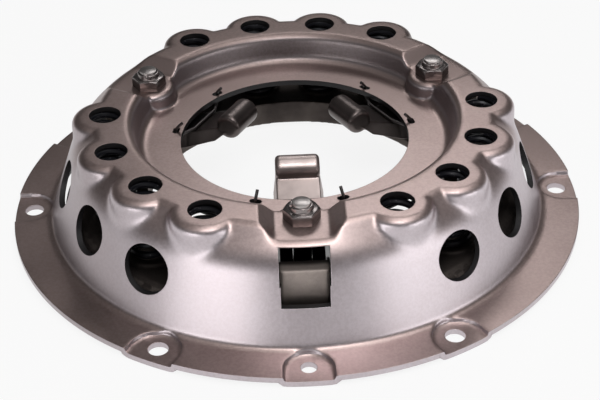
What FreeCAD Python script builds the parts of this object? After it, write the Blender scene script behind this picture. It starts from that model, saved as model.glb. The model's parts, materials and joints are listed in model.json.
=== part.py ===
import FreeCAD, Part
import math
import os

import Sketcher

# Twelve-inch dry clutch cover assembly: a pressed steel cover holds an iron pressure plate
# under twelve coil springs, and three levers lift the plate through struts.
# Millimetres, +Z up. The origin is on the cover's axis at its mounting face, and the
# first lever points along -Y. Pieces round a lever are drawn in a station frame:
# X outward from the axis, Y sideways, Z up.

os.makedirs("parts", exist_ok=True)
doc = FreeCAD.newDocument("clutch_cover_assembly")
sizes = doc.addObject("Spreadsheet::Sheet", "sizes")

# Driving sizes in millimetres and degrees
DRIVING_SIZES = (
    ("sheet", 3.5, "thickness of the cover's sheet steel"),
    ("flange_radius", 181.5, "outer edge of the flange"),
    ("flange_lift", 2.8, "underside of the flange over the mounting face"),
    ("foot_radius", 157.5, "foot of the dome on the flange"),
    ("foot_fillet", 5.0, "bend between flange and dome"),
    ("shoulder_radius", 140.5, "where the dome wall turns in"),
    ("shoulder_height", 54.0, "height of that turn"),
    ("shoulder_fillet", 7.0, "bend at the shoulder"),
    ("plateau_height", 70.0, "top of the dome"),
    ("valley_radius", 124.0, "edge of the dome top between spring cups"),
    ("rim_radius", 101.8, "inner edge of the dome top"),
    ("roll_fillet", 4.5, "rolled edges of the dome top"),
    ("ring_height", 51.5, "top of the inner ring"),
    ("step_radius", 98.3, "foot of the step to the inner ring"),
    ("step_fillet", 4.0, "bend at that foot"),
    ("opening_radius", 72.2, "central opening"),
    ("spring_circle", 118.9, "radius of the circle of springs"),
    ("spring_gap_angle", 21.6, "between neighbouring springs of a group"),
    ("cup_radius", 21.3, "outside of a spring cup"),
    ("cup_inner_radius", 110.0, "cups add nothing inside this radius"),
    ("spring_hole", 10.0, "radius of the hole over a spring"),
    ("bolt_circle", 170.0, "radius of the mounting bolt circle"),
    ("bolt_hole", 6.0, "radius of a mounting hole"),
    ("dowel_circle", 169.5, "radius of the small holes' circle"),
    ("dowel_hole", 4.75, "radius of a small hole"),
    ("bolt_pad_width", 31.0, "width of the flat of a bolt pad"),
    ("small_pad_width", 29.0, "width of the flat of a small pad"),
    ("pad_wall", 3.0, "width of the step round a bolt pad"),
    ("pad_inner_radius", 158.0, "where a bolt pad starts at the dome"),
    ("pad_roundness", 0.6, "depth of a pad's round end, of its half width"),
    ("wall_hole_half_width", 16.2, "half the width of a hole in the wall"),
    ("wall_hole_half_height", 14.0, "half its height"),
    ("wall_hole_height", 36.5, "height of its middle"),
    ("window_width", 31.0, "width of a lever window"),
    ("window_low_width", 28.0, "width of its lower part"),
    ("window_step_height", 41.0, "where the window narrows"),
    ("window_bottom", 29.5, "sill of a lever window"),
    ("window_top", 60.5, "top of a lever window"),
    ("nut_circle", 107.65, "radius of the circle of eyebolts"),
    ("nut_pad_height", 62.8, "seat of an adjusting nut"),
    ("nut_pad_width", 32.0, "flat of the recess round a nut"),
    ("recess_slope", 8.5, "sideways run of the recess's sloping sides"),
    ("boss_radius", 16.8, "rounded inner end of the recess"),
    ("boss_fillet", 4.0, "its rolled edge"),
    ("slot_circle", 76.5, "radius of the wire slots"),
    ("slot_angle", 20.0, "wire slots to either side of a lever"),
    ("slot_length", 7.5, "length of a wire slot"),
    ("slot_width", 4.2, "width of a wire slot"),
    ("plate_bore", 95.0, "bore radius of the pressure plate"),
    ("plate_radius", 149.0, "outer radius of the pressure plate"),
    ("plate_rim_height", 5.0, "straight part of the plate's rim"),
    ("plate_shoulder", 11.0, "width of the slope over the rim"),
    ("plate_face", 5.0, "height of the friction face at rest"),
    ("plate_thickness", 16.5, "thickness of the pressure plate"),
    ("seat_radius", 15.0, "radius of a spring seat"),
    ("seat_lift", 1.5, "height of a spring seat"),
    ("pip_clearance", 1.3, "spring round the peg that centres it"),
    ("pip_lift", 4.0, "height of that peg"),
    ("lug_radius", 136.5, "outer face of a lug"),
    ("lug_width", 28.5, "width of a lug"),
    ("lug_top", 46.0, "top of a lug"),
    ("lug_bridge", 7.0, "thickness over a lug's opening"),
    ("lug_wall", 5.0, "thickness of a lug's outer wall"),
    ("lug_depth", 14.0, "depth of a lug towards the axis"),
    ("channel_floor", 11.0, "floor of the channel under a lever"),
    ("channel_width", 37.0, "width of that channel"),
    ("nose_clearance", 1.0, "lever nose to the lug's cheeks"),
    ("nose_room", 3.0, "room under the lever's nose"),
    ("lug_corner", 1.6, "broken outer corners of a lug"),
    ("lug_slope", 4.9, "run of the slope over a lug's inner edge"),
    ("lug_slope_height", 3.0, "its height"),
    ("groove_radius", 4.0, "radius of the strut's groove in a lug"),
    ("groove_depth", 0.8, "depth of that groove"),
    ("pivot_height", 29.5, "lever pivot at rest"),
    ("arm_radius", 126.5, "strut's place from the axis"),
    ("arm_drop", 3.5, "strut seat below the pivot at rest"),
    ("strut_thickness", 3.2, "thickness of a strut"),
    ("strut_clearance", 0.15, "strut to its seats"),
    ("strut_width", 15.6, "width of a strut"),
    ("nose_width", 17.0, "width of the lever's nose"),
    ("nose_lip", 0.4, "nose's upper face below the middle of the strut's end"),
    ("nose_edge", 1.0, "broken edges of the nose"),
    ("nose_drop", 5.2, "underside of the nose below the strut seat"),
    ("tip_roll_radius", 6.0, "rounded tip of a lever"),
    ("tip_roll_place", 40.5, "middle of the rounded tip from the axis"),
    ("tip_roll_height", 53.0, "height of its middle"),
    ("tip_width", 27.2, "width of the rounded tip"),
    ("tip_corner", 2.6, "broken edges of its ends"),
    ("web_tip_height", 55.2, "top of a lever's web at its tip"),
    ("knee_place", 72.0, "where the web bends, from the axis"),
    ("knee_height", 43.5, "top of the web there"),
    ("web_over_pin", 4.7, "upper face of the web over the pin's hole"),
    ("lever_neck", 50.0, "narrow part behind the tip, from the axis"),
    ("lever_waist", 98.0, "where the sides reach their full depth"),
    ("web_width", 24.0, "width of a lever's web"),
    ("web_tip_width", 25.7, "that width at the tip"),
    ("skirt_lean", 0.24, "a lever's sides lean out by this much of their height"),
    ("skirt_tip_depth", 3.0, "height of the sides at the tip"),
    ("skirt_neck_depth", 8.5, "that height behind the tip"),
    ("skirt_knee_depth", 11.0, "that height at the bend"),
    ("skirt_drop", 7.0, "lower edges below the pivot"),
    ("end_wall", 3.0, "thickness of a lever's outer end"),
    ("web", 4.0, "thickness of a lever's web"),
    ("flank", 3.3, "thickness of a lever's sides"),
    ("pin_radius", 4.0, "pivot pin"),
    ("pin_length", 31.5, "length of the pivot pin"),
    ("pin_clearance", 0.05, "eye round the pin"),
    ("eye_radius", 8.0, "outside of the eye"),
    ("eye_width", 10.0, "thickness of the eye"),
    ("eye_clearance", 0.7, "eye to the lever's end wall"),
    ("shank_radius", 5.5, "eyebolt's shank"),
    ("slot_room", 0.6, "lever's slot round the shank"),
    ("shank_clearance", 0.5, "shank to its hole in the cover"),
    ("bolt_stand_out", 1.2, "eyebolt's end above the nut's collar"),
    ("nut_flats", 19.0, "across the flats of an adjusting nut"),
    ("nut_hex_height", 7.0, "hexagon of an adjusting nut"),
    ("collar_radius", 7.0, "staked collar of the nut"),
    ("collar_height", 3.0, "its height"),
    ("spring_radius", 11.2, "mean radius of a pressure spring"),
    ("spring_wire", 2.2, "radius of its wire"),
    ("spring_turns", 6.0, "turns of a pressure spring"),
    ("rattle_wire", 1.0, "radius of the anti-rattle wire"),
    ("rattle_place", 66.5, "where that wire crosses the lever, from the axis"),
    ("rattle_gap", 0.3, "wire over the lever's web"),
    ("rattle_end", 6.5, "length of the wire's free end over the ring"),
    ("rattle_lean", 50.0, "rise of that end, in degrees"),
    ("rattle_bend", 2.2, "bends of the wire"),
)

LEVERS = 3
SPRINGS_PER_LEVER = 4
WALL_HOLES_PER_LEVER = 3
SECTOR = 360.0 / LEVERS
REACH = 20.0
CUT_DEPTH = 60.0
SINK = 1.0
FIRST_RADIUS = 5.0
SHARPEST_BEND = 1.2
OUTER_CHORDS = 2
WIRE_SIDES = 6
WIRE_CHORDS = 3
MITRED = 1
SPRING_SIDES = 4
SPRING_CHORDS = 8
Z_AXIS = FreeCAD.Vector(0, 0, 1)


def write_sizes():
    """Put each driving size in a cell of its own with its name as the alias."""
    for row, (alias, value, note) in enumerate(DRIVING_SIZES, start=1):
        sizes.set("A%d" % row, alias)
        sizes.set("B%d" % row, str(value))
        sizes.set("C%d" % row, note)
        sizes.setAlias("B%d" % row, alias)
    doc.recompute()


def size(alias):
    """A driving size as a number."""
    return float(getattr(sizes, alias))


def station_angle(azimuth):
    """Turn from the station frame to an azimuth that counts from -Y towards +X."""
    return azimuth - 90.0


def station(azimuth):
    """Placement of a piece drawn in the station frame."""
    return FreeCAD.Placement(FreeCAD.Vector(), FreeCAD.Rotation(Z_AXIS, station_angle(azimuth)))


def at_station(azimuth, radius, height):
    """A point of the model at an azimuth, a radius and a height."""
    return station(azimuth).multVec(FreeCAD.Vector(radius, 0, height))


def lever_azimuths():
    """The levers' azimuths, the first one in front."""
    return [SECTOR * index for index in range(LEVERS)]


def spring_azimuths():
    """The springs stand in groups of four between the levers."""
    first = -0.5 * (SPRINGS_PER_LEVER - 1)
    azimuths = []
    for lever in lever_azimuths():
        for index in range(SPRINGS_PER_LEVER):
            azimuths.append(lever + SECTOR / 2 + (first + index) * size("spring_gap_angle"))
    return azimuths


def wall_hole_azimuths():
    """The wall holes lie between the springs of a group."""
    azimuths = []
    for lever in lever_azimuths():
        for index in range(WALL_HOLES_PER_LEVER):
            azimuths.append(lever + SECTOR / 2 + (index - 1) * size("spring_gap_angle"))
    return azimuths


def bolt_azimuths():
    """The six mounting bolts lie a quarter sector to either side of each lever."""
    azimuths = []
    for lever in lever_azimuths():
        azimuths.append(lever + SECTOR / 4)
        azimuths.append(lever - SECTOR / 4)
    return azimuths


# Plane outlines

def offset_corners(corners, distance):
    """Corners of an open outline moved sideways, to the right of its direction."""
    moved = []
    lines = []
    for (ax, az), (bx, bz) in zip(corners, corners[1:]):
        length = math.hypot(bx - ax, bz - az)
        ux, uz = (bx - ax) / length, (bz - az) / length
        lines.append((ax + distance * uz, az - distance * ux, ux, uz, length))
    moved.append(lines[0][:2])
    for (ax, az, ux, uz, _), (bx, bz, vx, vz, _) in zip(lines, lines[1:]):
        along = ((bx - ax) * vz - (bz - az) * vx) / (ux * vz - uz * vx)
        moved.append((ax + along * ux, az + along * uz))
    x, z, ux, uz, length = lines[-1]
    moved.append((x + length * ux, z + length * uz))
    return moved


def rounded_points(points, radii, chords):
    """Points of an open outline whose inner corners are bends of a few chords each.

    SHARPEST_BEND is the smallest radius that is drawn; a tighter corner stays sharp.
    """
    rounded = [points[0]]
    for before, corner, after, radius in zip(points, points[1:], points[2:], radii):
        if radius < SHARPEST_BEND:
            rounded.append(corner)
            continue
        back = (before - corner).normalize()
        ahead = (after - corner).normalize()
        half = back.getAngle(ahead) / 2
        reach = radius / math.tan(half)
        bisector = (back + ahead).normalize()
        middle = corner + bisector * (radius / math.sin(half) - radius)
        bend = Part.Arc(corner + back * reach, middle, corner + ahead * reach)
        rounded += bend.toShape().discretize(chords + 1)
    rounded.append(points[-1])
    return rounded


def rounded_section(corners, radii, chords):
    """The same for corners in the XZ plane."""
    return rounded_points([FreeCAD.Vector(x, 0, z) for x, z in corners], radii, chords)


def turned_skin(corners, radii, bottom, chords):
    """Solid of revolution under an outline that starts on the axis."""
    outline = rounded_section(corners, radii, chords)
    outline.append(FreeCAD.Vector(outline[-1].x, 0, bottom))
    outline.append(FreeCAD.Vector(0, 0, bottom))
    outline.append(outline[0])
    face = Part.Face(Part.makePolygon(outline))
    return face.revolve(FreeCAD.Vector(), Z_AXIS, 360)


def skin_chords(depth):
    """Chords in a bend: a few outside, one on the hidden inner side."""
    return OUTER_CHORDS if depth == 0 else 1


# Document objects

def label(thing, name):
    """Name a document object and hand it back."""
    thing.Label = name
    return thing


def shape_feature(name, shape, placement=None):
    """A feature whose shape is made here from the sheet's sizes."""
    feature = label(doc.addObject("Part::Feature", name), name)
    feature.Shape = shape
    if placement is not None:
        feature.Placement = placement
    return feature


def cylinder(name, radius, height, base, direction):
    """A cylinder whose radius follows a cell."""
    thing = label(doc.addObject("Part::Cylinder", name), name)
    thing.setExpression("Radius", radius)
    thing.Height = height
    thing.Placement = FreeCAD.Placement(base, FreeCAD.Rotation(Z_AXIS, direction))
    return thing


def fused(name, things):
    """One solid of several objects."""
    thing = label(doc.addObject("Part::MultiFuse", name), name)
    thing.Shapes = things
    return thing


def cut(name, base, tool):
    """One object less another."""
    thing = label(doc.addObject("Part::Cut", name), name)
    thing.Base = base
    thing.Tool = tool
    return thing


def new_body(name, placement=None):
    """An empty body in its place."""
    body = label(doc.addObject("PartDesign::Body", name), name)
    if placement is not None:
        body.Placement = placement
    return body


def new_sketch(body, name, plane, offset=(0, 0, 0)):
    """A sketch on one of its body's own planes, moved by an offset in that plane's frame."""
    sketch = body.newObject("Sketcher::SketchObject", name)
    role = plane + "_Plane"
    support = [item for item in body.Origin.OriginFeatures if item.Role == role][0]
    sketch.AttachmentSupport = [(support, "")]
    sketch.MapMode = "FlatFace"
    sketch.AttachmentOffset = FreeCAD.Placement(FreeCAD.Vector(*offset), FreeCAD.Rotation())
    return sketch


def draw_polygon(sketch, points):
    """A closed outline of straight lines."""
    first = sketch.GeometryCount
    count = len(points)
    for index, (x, y) in enumerate(points):
        next_x, next_y = points[(index + 1) % count]
        line = Part.LineSegment(FreeCAD.Vector(x, y, 0), FreeCAD.Vector(next_x, next_y, 0))
        sketch.addGeometry(line)
    for index in range(count):
        following = first + (index + 1) % count
        sketch.addConstraint(Sketcher.Constraint("Coincident", first + index, 2, following, 1))


def draw_circle(sketch, x, y, expression):
    """A circle whose radius follows an expression."""
    index = sketch.addGeometry(Part.Circle(FreeCAD.Vector(x, y, 0), Z_AXIS, FIRST_RADIUS))
    place = sketch.addConstraint(Sketcher.Constraint("Radius", index, FIRST_RADIUS))
    sketch.setExpression("Constraints[%d]" % place, expression)


def pad(body, sketch, length, middle=False, backwards=False):
    """Material from a sketch."""
    feature = body.newObject("PartDesign::Pad", sketch.Name + "_pad")
    feature.Profile = sketch
    set_length(feature, length)
    feature.SideType = "Symmetric" if middle else "One side"
    feature.Reversed = backwards
    return feature


def pocket(body, sketch, length, middle=False, backwards=False):
    """A recess from a sketch."""
    feature = body.newObject("PartDesign::Pocket", sketch.Name + "_pocket")
    feature.Profile = sketch
    set_length(feature, length)
    feature.SideType = "Symmetric" if middle else "One side"
    feature.Reversed = backwards
    doc.recompute()
    return feature


def set_length(feature, length):
    """A length as a number or as an expression."""
    if isinstance(length, str):
        feature.setExpression("Length", length)
    else:
        feature.Length = length


def loft(body, name, sketches, kind="PartDesign::AdditiveLoft"):
    """A ruled loft through sketches."""
    feature = body.newObject(kind, name)
    feature.Profile = sketches[0]
    feature.Sections = sketches[1:]
    feature.Ruled = True
    return feature


# Cover

def dome_corners():
    """Outline of the dome's outer skin, from the axis to past the flange's edge."""
    return [
        (0.0, size("ring_height")),
        (size("step_radius"), size("ring_height")),
        (size("rim_radius"), size("plateau_height")),
        (size("valley_radius"), size("plateau_height")),
        (size("shoulder_radius"), size("shoulder_height")),
        (size("foot_radius"), flange_top()),
        (size("flange_radius") + REACH, flange_top()),
    ]


def flange_top():
    """Height of the flange's upper face."""
    return size("flange_lift") + size("sheet")


def dome_solid(depth):
    """The dome under its skin, or under the inner side of its sheet."""
    bends = [
        size("step_fillet") + depth,
        size("roll_fillet") - depth,
        size("roll_fillet") - depth,
        size("shoulder_fillet") - depth,
        size("foot_fillet") + depth,
    ]
    return turned_skin(offset_corners(dome_corners(), depth), bends, -REACH, skin_chords(depth))


def cup_solid(radius, top, roll, depth):
    """A round cup under its skin, standing on the axis."""
    bottom = size("flange_lift") + REACH
    corners = offset_corners([(0.0, top), (radius, top), (radius, bottom + REACH)], depth)
    return turned_skin(corners, [roll - depth], bottom, skin_chords(depth))


def recess_tool(depth):
    """What the recess round a nut takes away, in the station frame."""
    half = size("nut_pad_width") / 2
    floor = size("nut_pad_height")
    rise = size("plateau_height") - floor
    run = size("recess_slope")
    stretch = 2.0
    side = half + run * stretch
    high = floor + rise * stretch
    corners = offset_corners([(-side, high), (-half, floor), (half, floor), (side, high)], depth)
    bend = size("roll_fillet") + size("sheet") - 2 * depth
    outline = rounded_section(corners, [bend, bend], skin_chords(depth))
    face = Part.Face(Part.makePolygon(outline + outline[:1]))
    inner = size("rim_radius") - REACH
    outer = size("shoulder_radius") + REACH
    solid = face.extrude(FreeCAD.Vector(0, outer - inner, 0))
    solid.rotate(FreeCAD.Vector(), Z_AXIS, -90)
    solid.translate(FreeCAD.Vector(inner, 0, 0))
    return solid


def skin_solid(depth):
    """Everything under the cover's skin, at a depth below its outer face."""
    solid = dome_solid(depth)
    additions = []
    cup = cup_solid(size("cup_radius"), size("plateau_height"), size("roll_fillet"), depth)
    inside = Part.makeCylinder(size("cup_inner_radius"), 2 * CUT_DEPTH)
    for azimuth in spring_azimuths():
        copy = cup.copy()
        copy.Placement = FreeCAD.Placement(
            at_station(azimuth, size("spring_circle"), 0), FreeCAD.Rotation())
        additions.append(copy.cut(inside))
    recess = recess_tool(depth)
    recesses = []
    for azimuth in lever_azimuths():
        copy = recess.copy()
        copy.Placement = station(azimuth).multiply(recess.Placement)
        recesses.append(copy)
    solid = solid.fuse(additions).cut(recesses)
    boss = cup_solid(size("boss_radius"), size("nut_pad_height"), size("boss_fillet"), depth)
    bosses = []
    for azimuth in lever_azimuths():
        copy = boss.copy()
        copy.Placement = FreeCAD.Placement(
            at_station(azimuth, size("nut_circle"), 0), FreeCAD.Rotation())
        bosses.append(copy)
    return solid.fuse(bosses)


def pad_outline(width, inner, height_low, height_high):
    """A bolt pad's block in the station frame: a round inner end and straight sides."""
    half = width / 2
    start = inner + half * size("pad_roundness")
    end = size("flange_radius") + REACH
    near_left = FreeCAD.Vector(start, -half, height_low)
    near_right = FreeCAD.Vector(start, half, height_low)
    far_right = FreeCAD.Vector(end, half, height_low)
    far_left = FreeCAD.Vector(end, -half, height_low)
    crown = FreeCAD.Vector(inner, 0, height_low)
    edges = [
        Part.makeLine(near_right, far_right),
        Part.makeLine(far_right, far_left),
        Part.makeLine(far_left, near_left),
        Part.Arc(near_left, crown, near_right).toShape(),
    ]
    face = Part.Face(Part.Wire(edges))
    return face.extrude(FreeCAD.Vector(0, 0, height_high - height_low))


def make_cover():
    """The pressed steel cover."""
    sheet = size("sheet")
    outer = shape_feature("cover_outer_skin", skin_solid(0.0))
    inner = shape_feature("cover_inner_skin", skin_solid(sheet))
    shell = cut("cover_shell", outer, inner)

    steps = []
    floors = []
    pads = [(azimuth, size("bolt_pad_width")) for azimuth in bolt_azimuths()]
    pads += [(azimuth, size("small_pad_width")) for azimuth in lever_azimuths()]
    rim = Part.makeCylinder(size("flange_radius"), CUT_DEPTH, FreeCAD.Vector(0, 0, -SINK))
    for number, (azimuth, width) in enumerate(pads, start=1):
        wall = size("pad_wall")
        block = pad_outline(width + 2 * wall, size("pad_inner_radius") - wall, 0.0, sheet)
        block = block.common(rim)
        steps.append(shape_feature("pad_%d" % number, block, station(azimuth)))
        hollow = pad_outline(width, size("pad_inner_radius"), sheet, flange_top() + sheet)
        floors.append(shape_feature("pad_hollow_%d" % number, hollow, station(azimuth)))
    rim_ring = Part.makeCylinder(size("flange_radius") + 2 * REACH, CUT_DEPTH * 2,
                                 FreeCAD.Vector(0, 0, -CUT_DEPTH))
    rim_core = Part.makeCylinder(size("flange_radius"), CUT_DEPTH * 2,
                                 FreeCAD.Vector(0, 0, -CUT_DEPTH))
    trim = shape_feature("flange_trim", rim_ring.cut(rim_core))
    blank = fused("cover_blank", [shell] + steps)

    holes = [trim] + floors
    holes.append(cylinder("central_opening", "sizes.opening_radius", 2 * CUT_DEPTH,
                          FreeCAD.Vector(), Z_AXIS))
    high = size("shoulder_height")
    for number, azimuth in enumerate(spring_azimuths(), start=1):
        base = at_station(azimuth, size("spring_circle"), high)
        holes.append(cylinder("spring_hole_%d" % number, "sizes.spring_hole", CUT_DEPTH, base,
                              Z_AXIS))
    for number, azimuth in enumerate(bolt_azimuths(), start=1):
        base = at_station(azimuth, size("bolt_circle"), -SINK)
        holes.append(cylinder("bolt_hole_%d" % number, "sizes.bolt_hole", REACH, base, Z_AXIS))
    for number, azimuth in enumerate(lever_azimuths(), start=1):
        base = at_station(azimuth, size("dowel_circle"), -SINK)
        holes.append(cylinder("dowel_hole_%d" % number, "sizes.dowel_hole", REACH, base, Z_AXIS))
        base = at_station(azimuth, size("nut_circle"), size("ring_height"))
        holes.append(cylinder("eyebolt_hole_%d" % number,
                              "sizes.shank_radius + sizes.shank_clearance", REACH, base,
                              Z_AXIS))
    for number, azimuth in enumerate(wall_hole_azimuths(), start=1):
        holes.append(wall_hole(number, azimuth))
    for number, azimuth in enumerate(lever_azimuths(), start=1):
        holes += window(number, azimuth)
        for side in (-1, 1):
            holes.append(wire_slot(number, azimuth, side))
    return cut("cover", blank, fused("cover_openings", holes))


def wall_hole(number, azimuth):
    """An oval hole through the dome wall."""
    oval = label(doc.addObject("Part::Ellipse", "wall_oval_%d" % number), "wall_oval_%d" % number)
    oval.setExpression("MajorRadius", "sizes.wall_hole_half_width")
    oval.setExpression("MinorRadius", "sizes.wall_hole_half_height")
    turn = FreeCAD.Rotation(FreeCAD.Vector(0, 1, 0), Z_AXIS, FreeCAD.Vector(1, 0, 0), "ZXY")
    upright = FreeCAD.Placement(
        FreeCAD.Vector(size("spring_circle"), 0, size("wall_hole_height")), turn)
    oval.Placement = station(azimuth).multiply(upright)
    hole = label(doc.addObject("Part::Extrusion", "wall_hole_%d" % number),
                 "wall_hole_%d" % number)
    hole.Base = oval
    hole.DirMode = "Custom"
    hole.Dir = station(azimuth).Rotation.multVec(FreeCAD.Vector(1, 0, 0))
    hole.LengthFwd = CUT_DEPTH
    hole.Solid = True
    return hole


def window(number, azimuth):
    """The two boxes of a lever window."""
    place = station(azimuth)
    boxes = []
    for name, width, low, high in (
            ("window_%d" % number, "window_width", "window_step_height", "window_top"),
            ("window_sill_%d" % number, "window_low_width", "window_bottom", "window_top")):
        box = label(doc.addObject("Part::Box", name), name)
        box.Length = CUT_DEPTH
        box.setExpression("Width", "sizes." + width)
        box.setExpression("Height", "sizes.%s - sizes.%s" % (high, low))
        corner = FreeCAD.Vector(size("nut_circle") + size("boss_radius"), -size(width) / 2,
                                size(low))
        box.Placement = place.multiply(FreeCAD.Placement(corner, FreeCAD.Rotation()))
        boxes.append(box)
    return boxes


def wire_slot(number, azimuth, side):
    """A slot through the inner ring, lying across the radius."""
    name = "wire_slot_%d_%s" % (number, "left" if side < 0 else "right")
    half = size("slot_width") / 2
    straight = size("slot_length") / 2 - half
    low = size("ring_height") - 2 * size("sheet")
    box = Part.makeBox(2 * half, 2 * straight, 4 * size("sheet"),
                       FreeCAD.Vector(-half, -straight, 0))
    ends = [Part.makeCylinder(half, 4 * size("sheet"), FreeCAD.Vector(0, shift, 0))
            for shift in (-straight, straight)]
    shape = box.fuse(ends).removeSplitter()
    spot = azimuth + side * size("slot_angle")
    place = FreeCAD.Placement(at_station(spot, size("slot_circle"), low),
                              station(spot).Rotation)
    return shape_feature(name, shape, place)


# Pressure plate

def plate_top():
    """Height of the plate's upper face at rest."""
    return size("plate_face") + size("plate_thickness")


def seat_top():
    """Height of the spring seats at rest."""
    return plate_top() + size("seat_lift")


def lug_inner():
    """Where a lug starts, from the axis."""
    return size("lug_radius") - size("lug_depth")


def bridge_underside():
    """Underside of a lug's bridge, where a strut presses."""
    return size("lug_top") - size("lug_bridge")


def make_pressure_plate():
    """The iron pressure plate with its spring seats and lugs."""
    body = new_body("pressure_plate")
    face = size("plate_face")
    top = plate_top()
    bore = size("plate_bore")
    rim = size("plate_radius")
    shoulder = size("plate_shoulder")
    lug_base = face + size("plate_rim_height")
    section = new_sketch(body, "plate_section", "XZ")
    draw_polygon(section, [
        (bore, face), (rim, face), (rim, lug_base), (rim - shoulder / 2, top - shoulder / 4),
        (rim - shoulder, top), (bore, top)])
    ring = body.newObject("PartDesign::Revolution", "plate_ring")
    ring.Profile = section
    ring.ReferenceAxis = (section, ["V_Axis"])
    ring.Angle = 360.0
    doc.recompute()

    seats = new_sketch(body, "spring_seats", "XY", (0, 0, top - SINK))
    pips = new_sketch(body, "spring_pips", "XY", (0, 0, top - SINK))
    for azimuth in spring_azimuths():
        spot = at_station(azimuth, size("spring_circle"), 0)
        draw_circle(seats, spot.x, spot.y, "sizes.seat_radius")
        draw_circle(pips, spot.x, spot.y,
                    "sizes.spring_radius - sizes.spring_wire - sizes.pip_clearance")
    pad(body, seats, size("seat_lift") + SINK)
    pad(body, pips, size("pip_lift") + size("seat_lift") + SINK)

    lugs = new_sketch(body, "lugs", "XY", (0, 0, lug_base))
    half = size("lug_width") / 2
    corner = size("lug_corner")
    for azimuth in lever_azimuths():
        corners = [(lug_inner(), -half), (size("lug_radius") - corner, -half),
                   (size("lug_radius"), corner - half), (size("lug_radius"), half - corner),
                   (size("lug_radius") - corner, half), (lug_inner(), half)]
        draw_turned(lugs, corners, azimuth)
    pad(body, lugs, size("lug_top") - lug_base)

    channels = new_sketch(body, "lever_channels", "XY", (0, 0, size("channel_floor")))
    width = size("channel_width") / 2
    for azimuth in lever_azimuths():
        corners = [(bore - REACH, -width), (lug_inner(), -width),
                   (lug_inner(), width), (bore - REACH, width)]
        draw_turned(channels, corners, azimuth)
    pocket(body, channels, CUT_DEPTH, backwards=True)

    cavities = new_sketch(body, "lug_cavities", "XY", (0, 0, cavity_floor()))
    cheek = size("nose_width") / 2 + size("nose_clearance")
    inner_face = size("lug_radius") - size("lug_wall")
    for azimuth in lever_azimuths():
        corners = [(lug_inner() - SINK, -cheek), (inner_face, -cheek),
                   (inner_face, cheek), (lug_inner() - SINK, cheek)]
        draw_turned(cavities, corners, azimuth)
    pocket(body, cavities, bridge_underside() - cavity_floor(), backwards=True)
    for number, azimuth in enumerate(lever_azimuths(), start=1):
        cut_lug_end(body, number, azimuth)
    body_tip_checked(body)
    return body


def cut_lug_end(body, number, azimuth):
    """The strut's groove under a lug's bridge and the slope over the bridge's inner edge."""
    half = size("strut_width") / 2 + size("nose_clearance")
    groove = body.newObject("PartDesign::SubtractiveCylinder", "strut_seat_%d" % number)
    groove.setExpression("Radius", "sizes.groove_radius")
    groove.Height = 2 * half
    across = FreeCAD.Rotation(FreeCAD.Vector(1, 0, 0), 90)
    place = FreeCAD.Placement(
        FreeCAD.Vector(size("arm_radius"), half, groove_top() - size("groove_radius")), across)
    groove.Placement = station(azimuth).multiply(place)
    doc.recompute()
    slope = body.newObject("PartDesign::SubtractiveWedge", "lug_slope_%d" % number)
    half = size("lug_width") / 2 + REACH
    slope.Xmin = -REACH
    slope.Xmax = 0.0
    slope.X2min = -REACH
    slope.X2max = size("lug_slope")
    slope.Ymin = 0.0
    slope.Ymax = size("lug_slope_height") + SINK
    slope.Zmin = -half
    slope.Zmax = half
    slope.Z2min = -half
    slope.Z2max = half
    corner = FreeCAD.Vector(lug_inner(), 0, size("lug_top") - size("lug_slope_height"))
    slope.Placement = station(azimuth).multiply(FreeCAD.Placement(corner, across))
    doc.recompute()


def groove_top():
    """Top of the groove that the strut presses in."""
    return bridge_underside() + size("groove_depth")


def cavity_floor():
    """Floor of a lug's opening, below the lever's nose."""
    return seat_height() - size("nose_drop") - size("nose_room")


def draw_turned(sketch, corners, azimuth):
    """A polygon drawn in the station frame, turned to its azimuth."""
    turned = []
    for x, y in corners:
        spot = station(azimuth).multVec(FreeCAD.Vector(x, y, 0))
        turned.append((spot.x, spot.y))
    draw_polygon(sketch, turned)


def body_tip_checked(body):
    """Rebuild and stop if the body has no solid."""
    doc.recompute()
    if body.Shape.isNull() or not body.Shape.isValid():
        raise RuntimeError("bad shape in " + body.Label)


# Lever group

def seat_height():
    """Middle of the strut's rounded lower end at rest."""
    return size("pivot_height") - size("arm_drop")


def web_height(x):
    """Upper face of the lever's web."""
    knee = size("knee_place")
    height = size("knee_height")
    tip = size("tip_roll_place")
    if x <= knee:
        return height + (size("web_tip_height") - height) * (knee - x) / (knee - tip)
    low = size("pivot_height") + size("pin_radius") + size("web_over_pin")
    return height + (low - height) * (x - knee) / (size("nut_circle") - knee)


def lever_section(body, name, x, top, top_half, bottom):
    """A trapezium across the lever; all of its sides lean alike, so they stay flat."""
    sketch = new_sketch(body, name, "YZ", (0, 0, x))
    bottom_half = top_half + size("skirt_lean") * (top - bottom)
    draw_polygon(sketch, [(-bottom_half, bottom), (bottom_half, bottom),
                          (top_half, top), (-top_half, top)])
    return sketch


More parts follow.
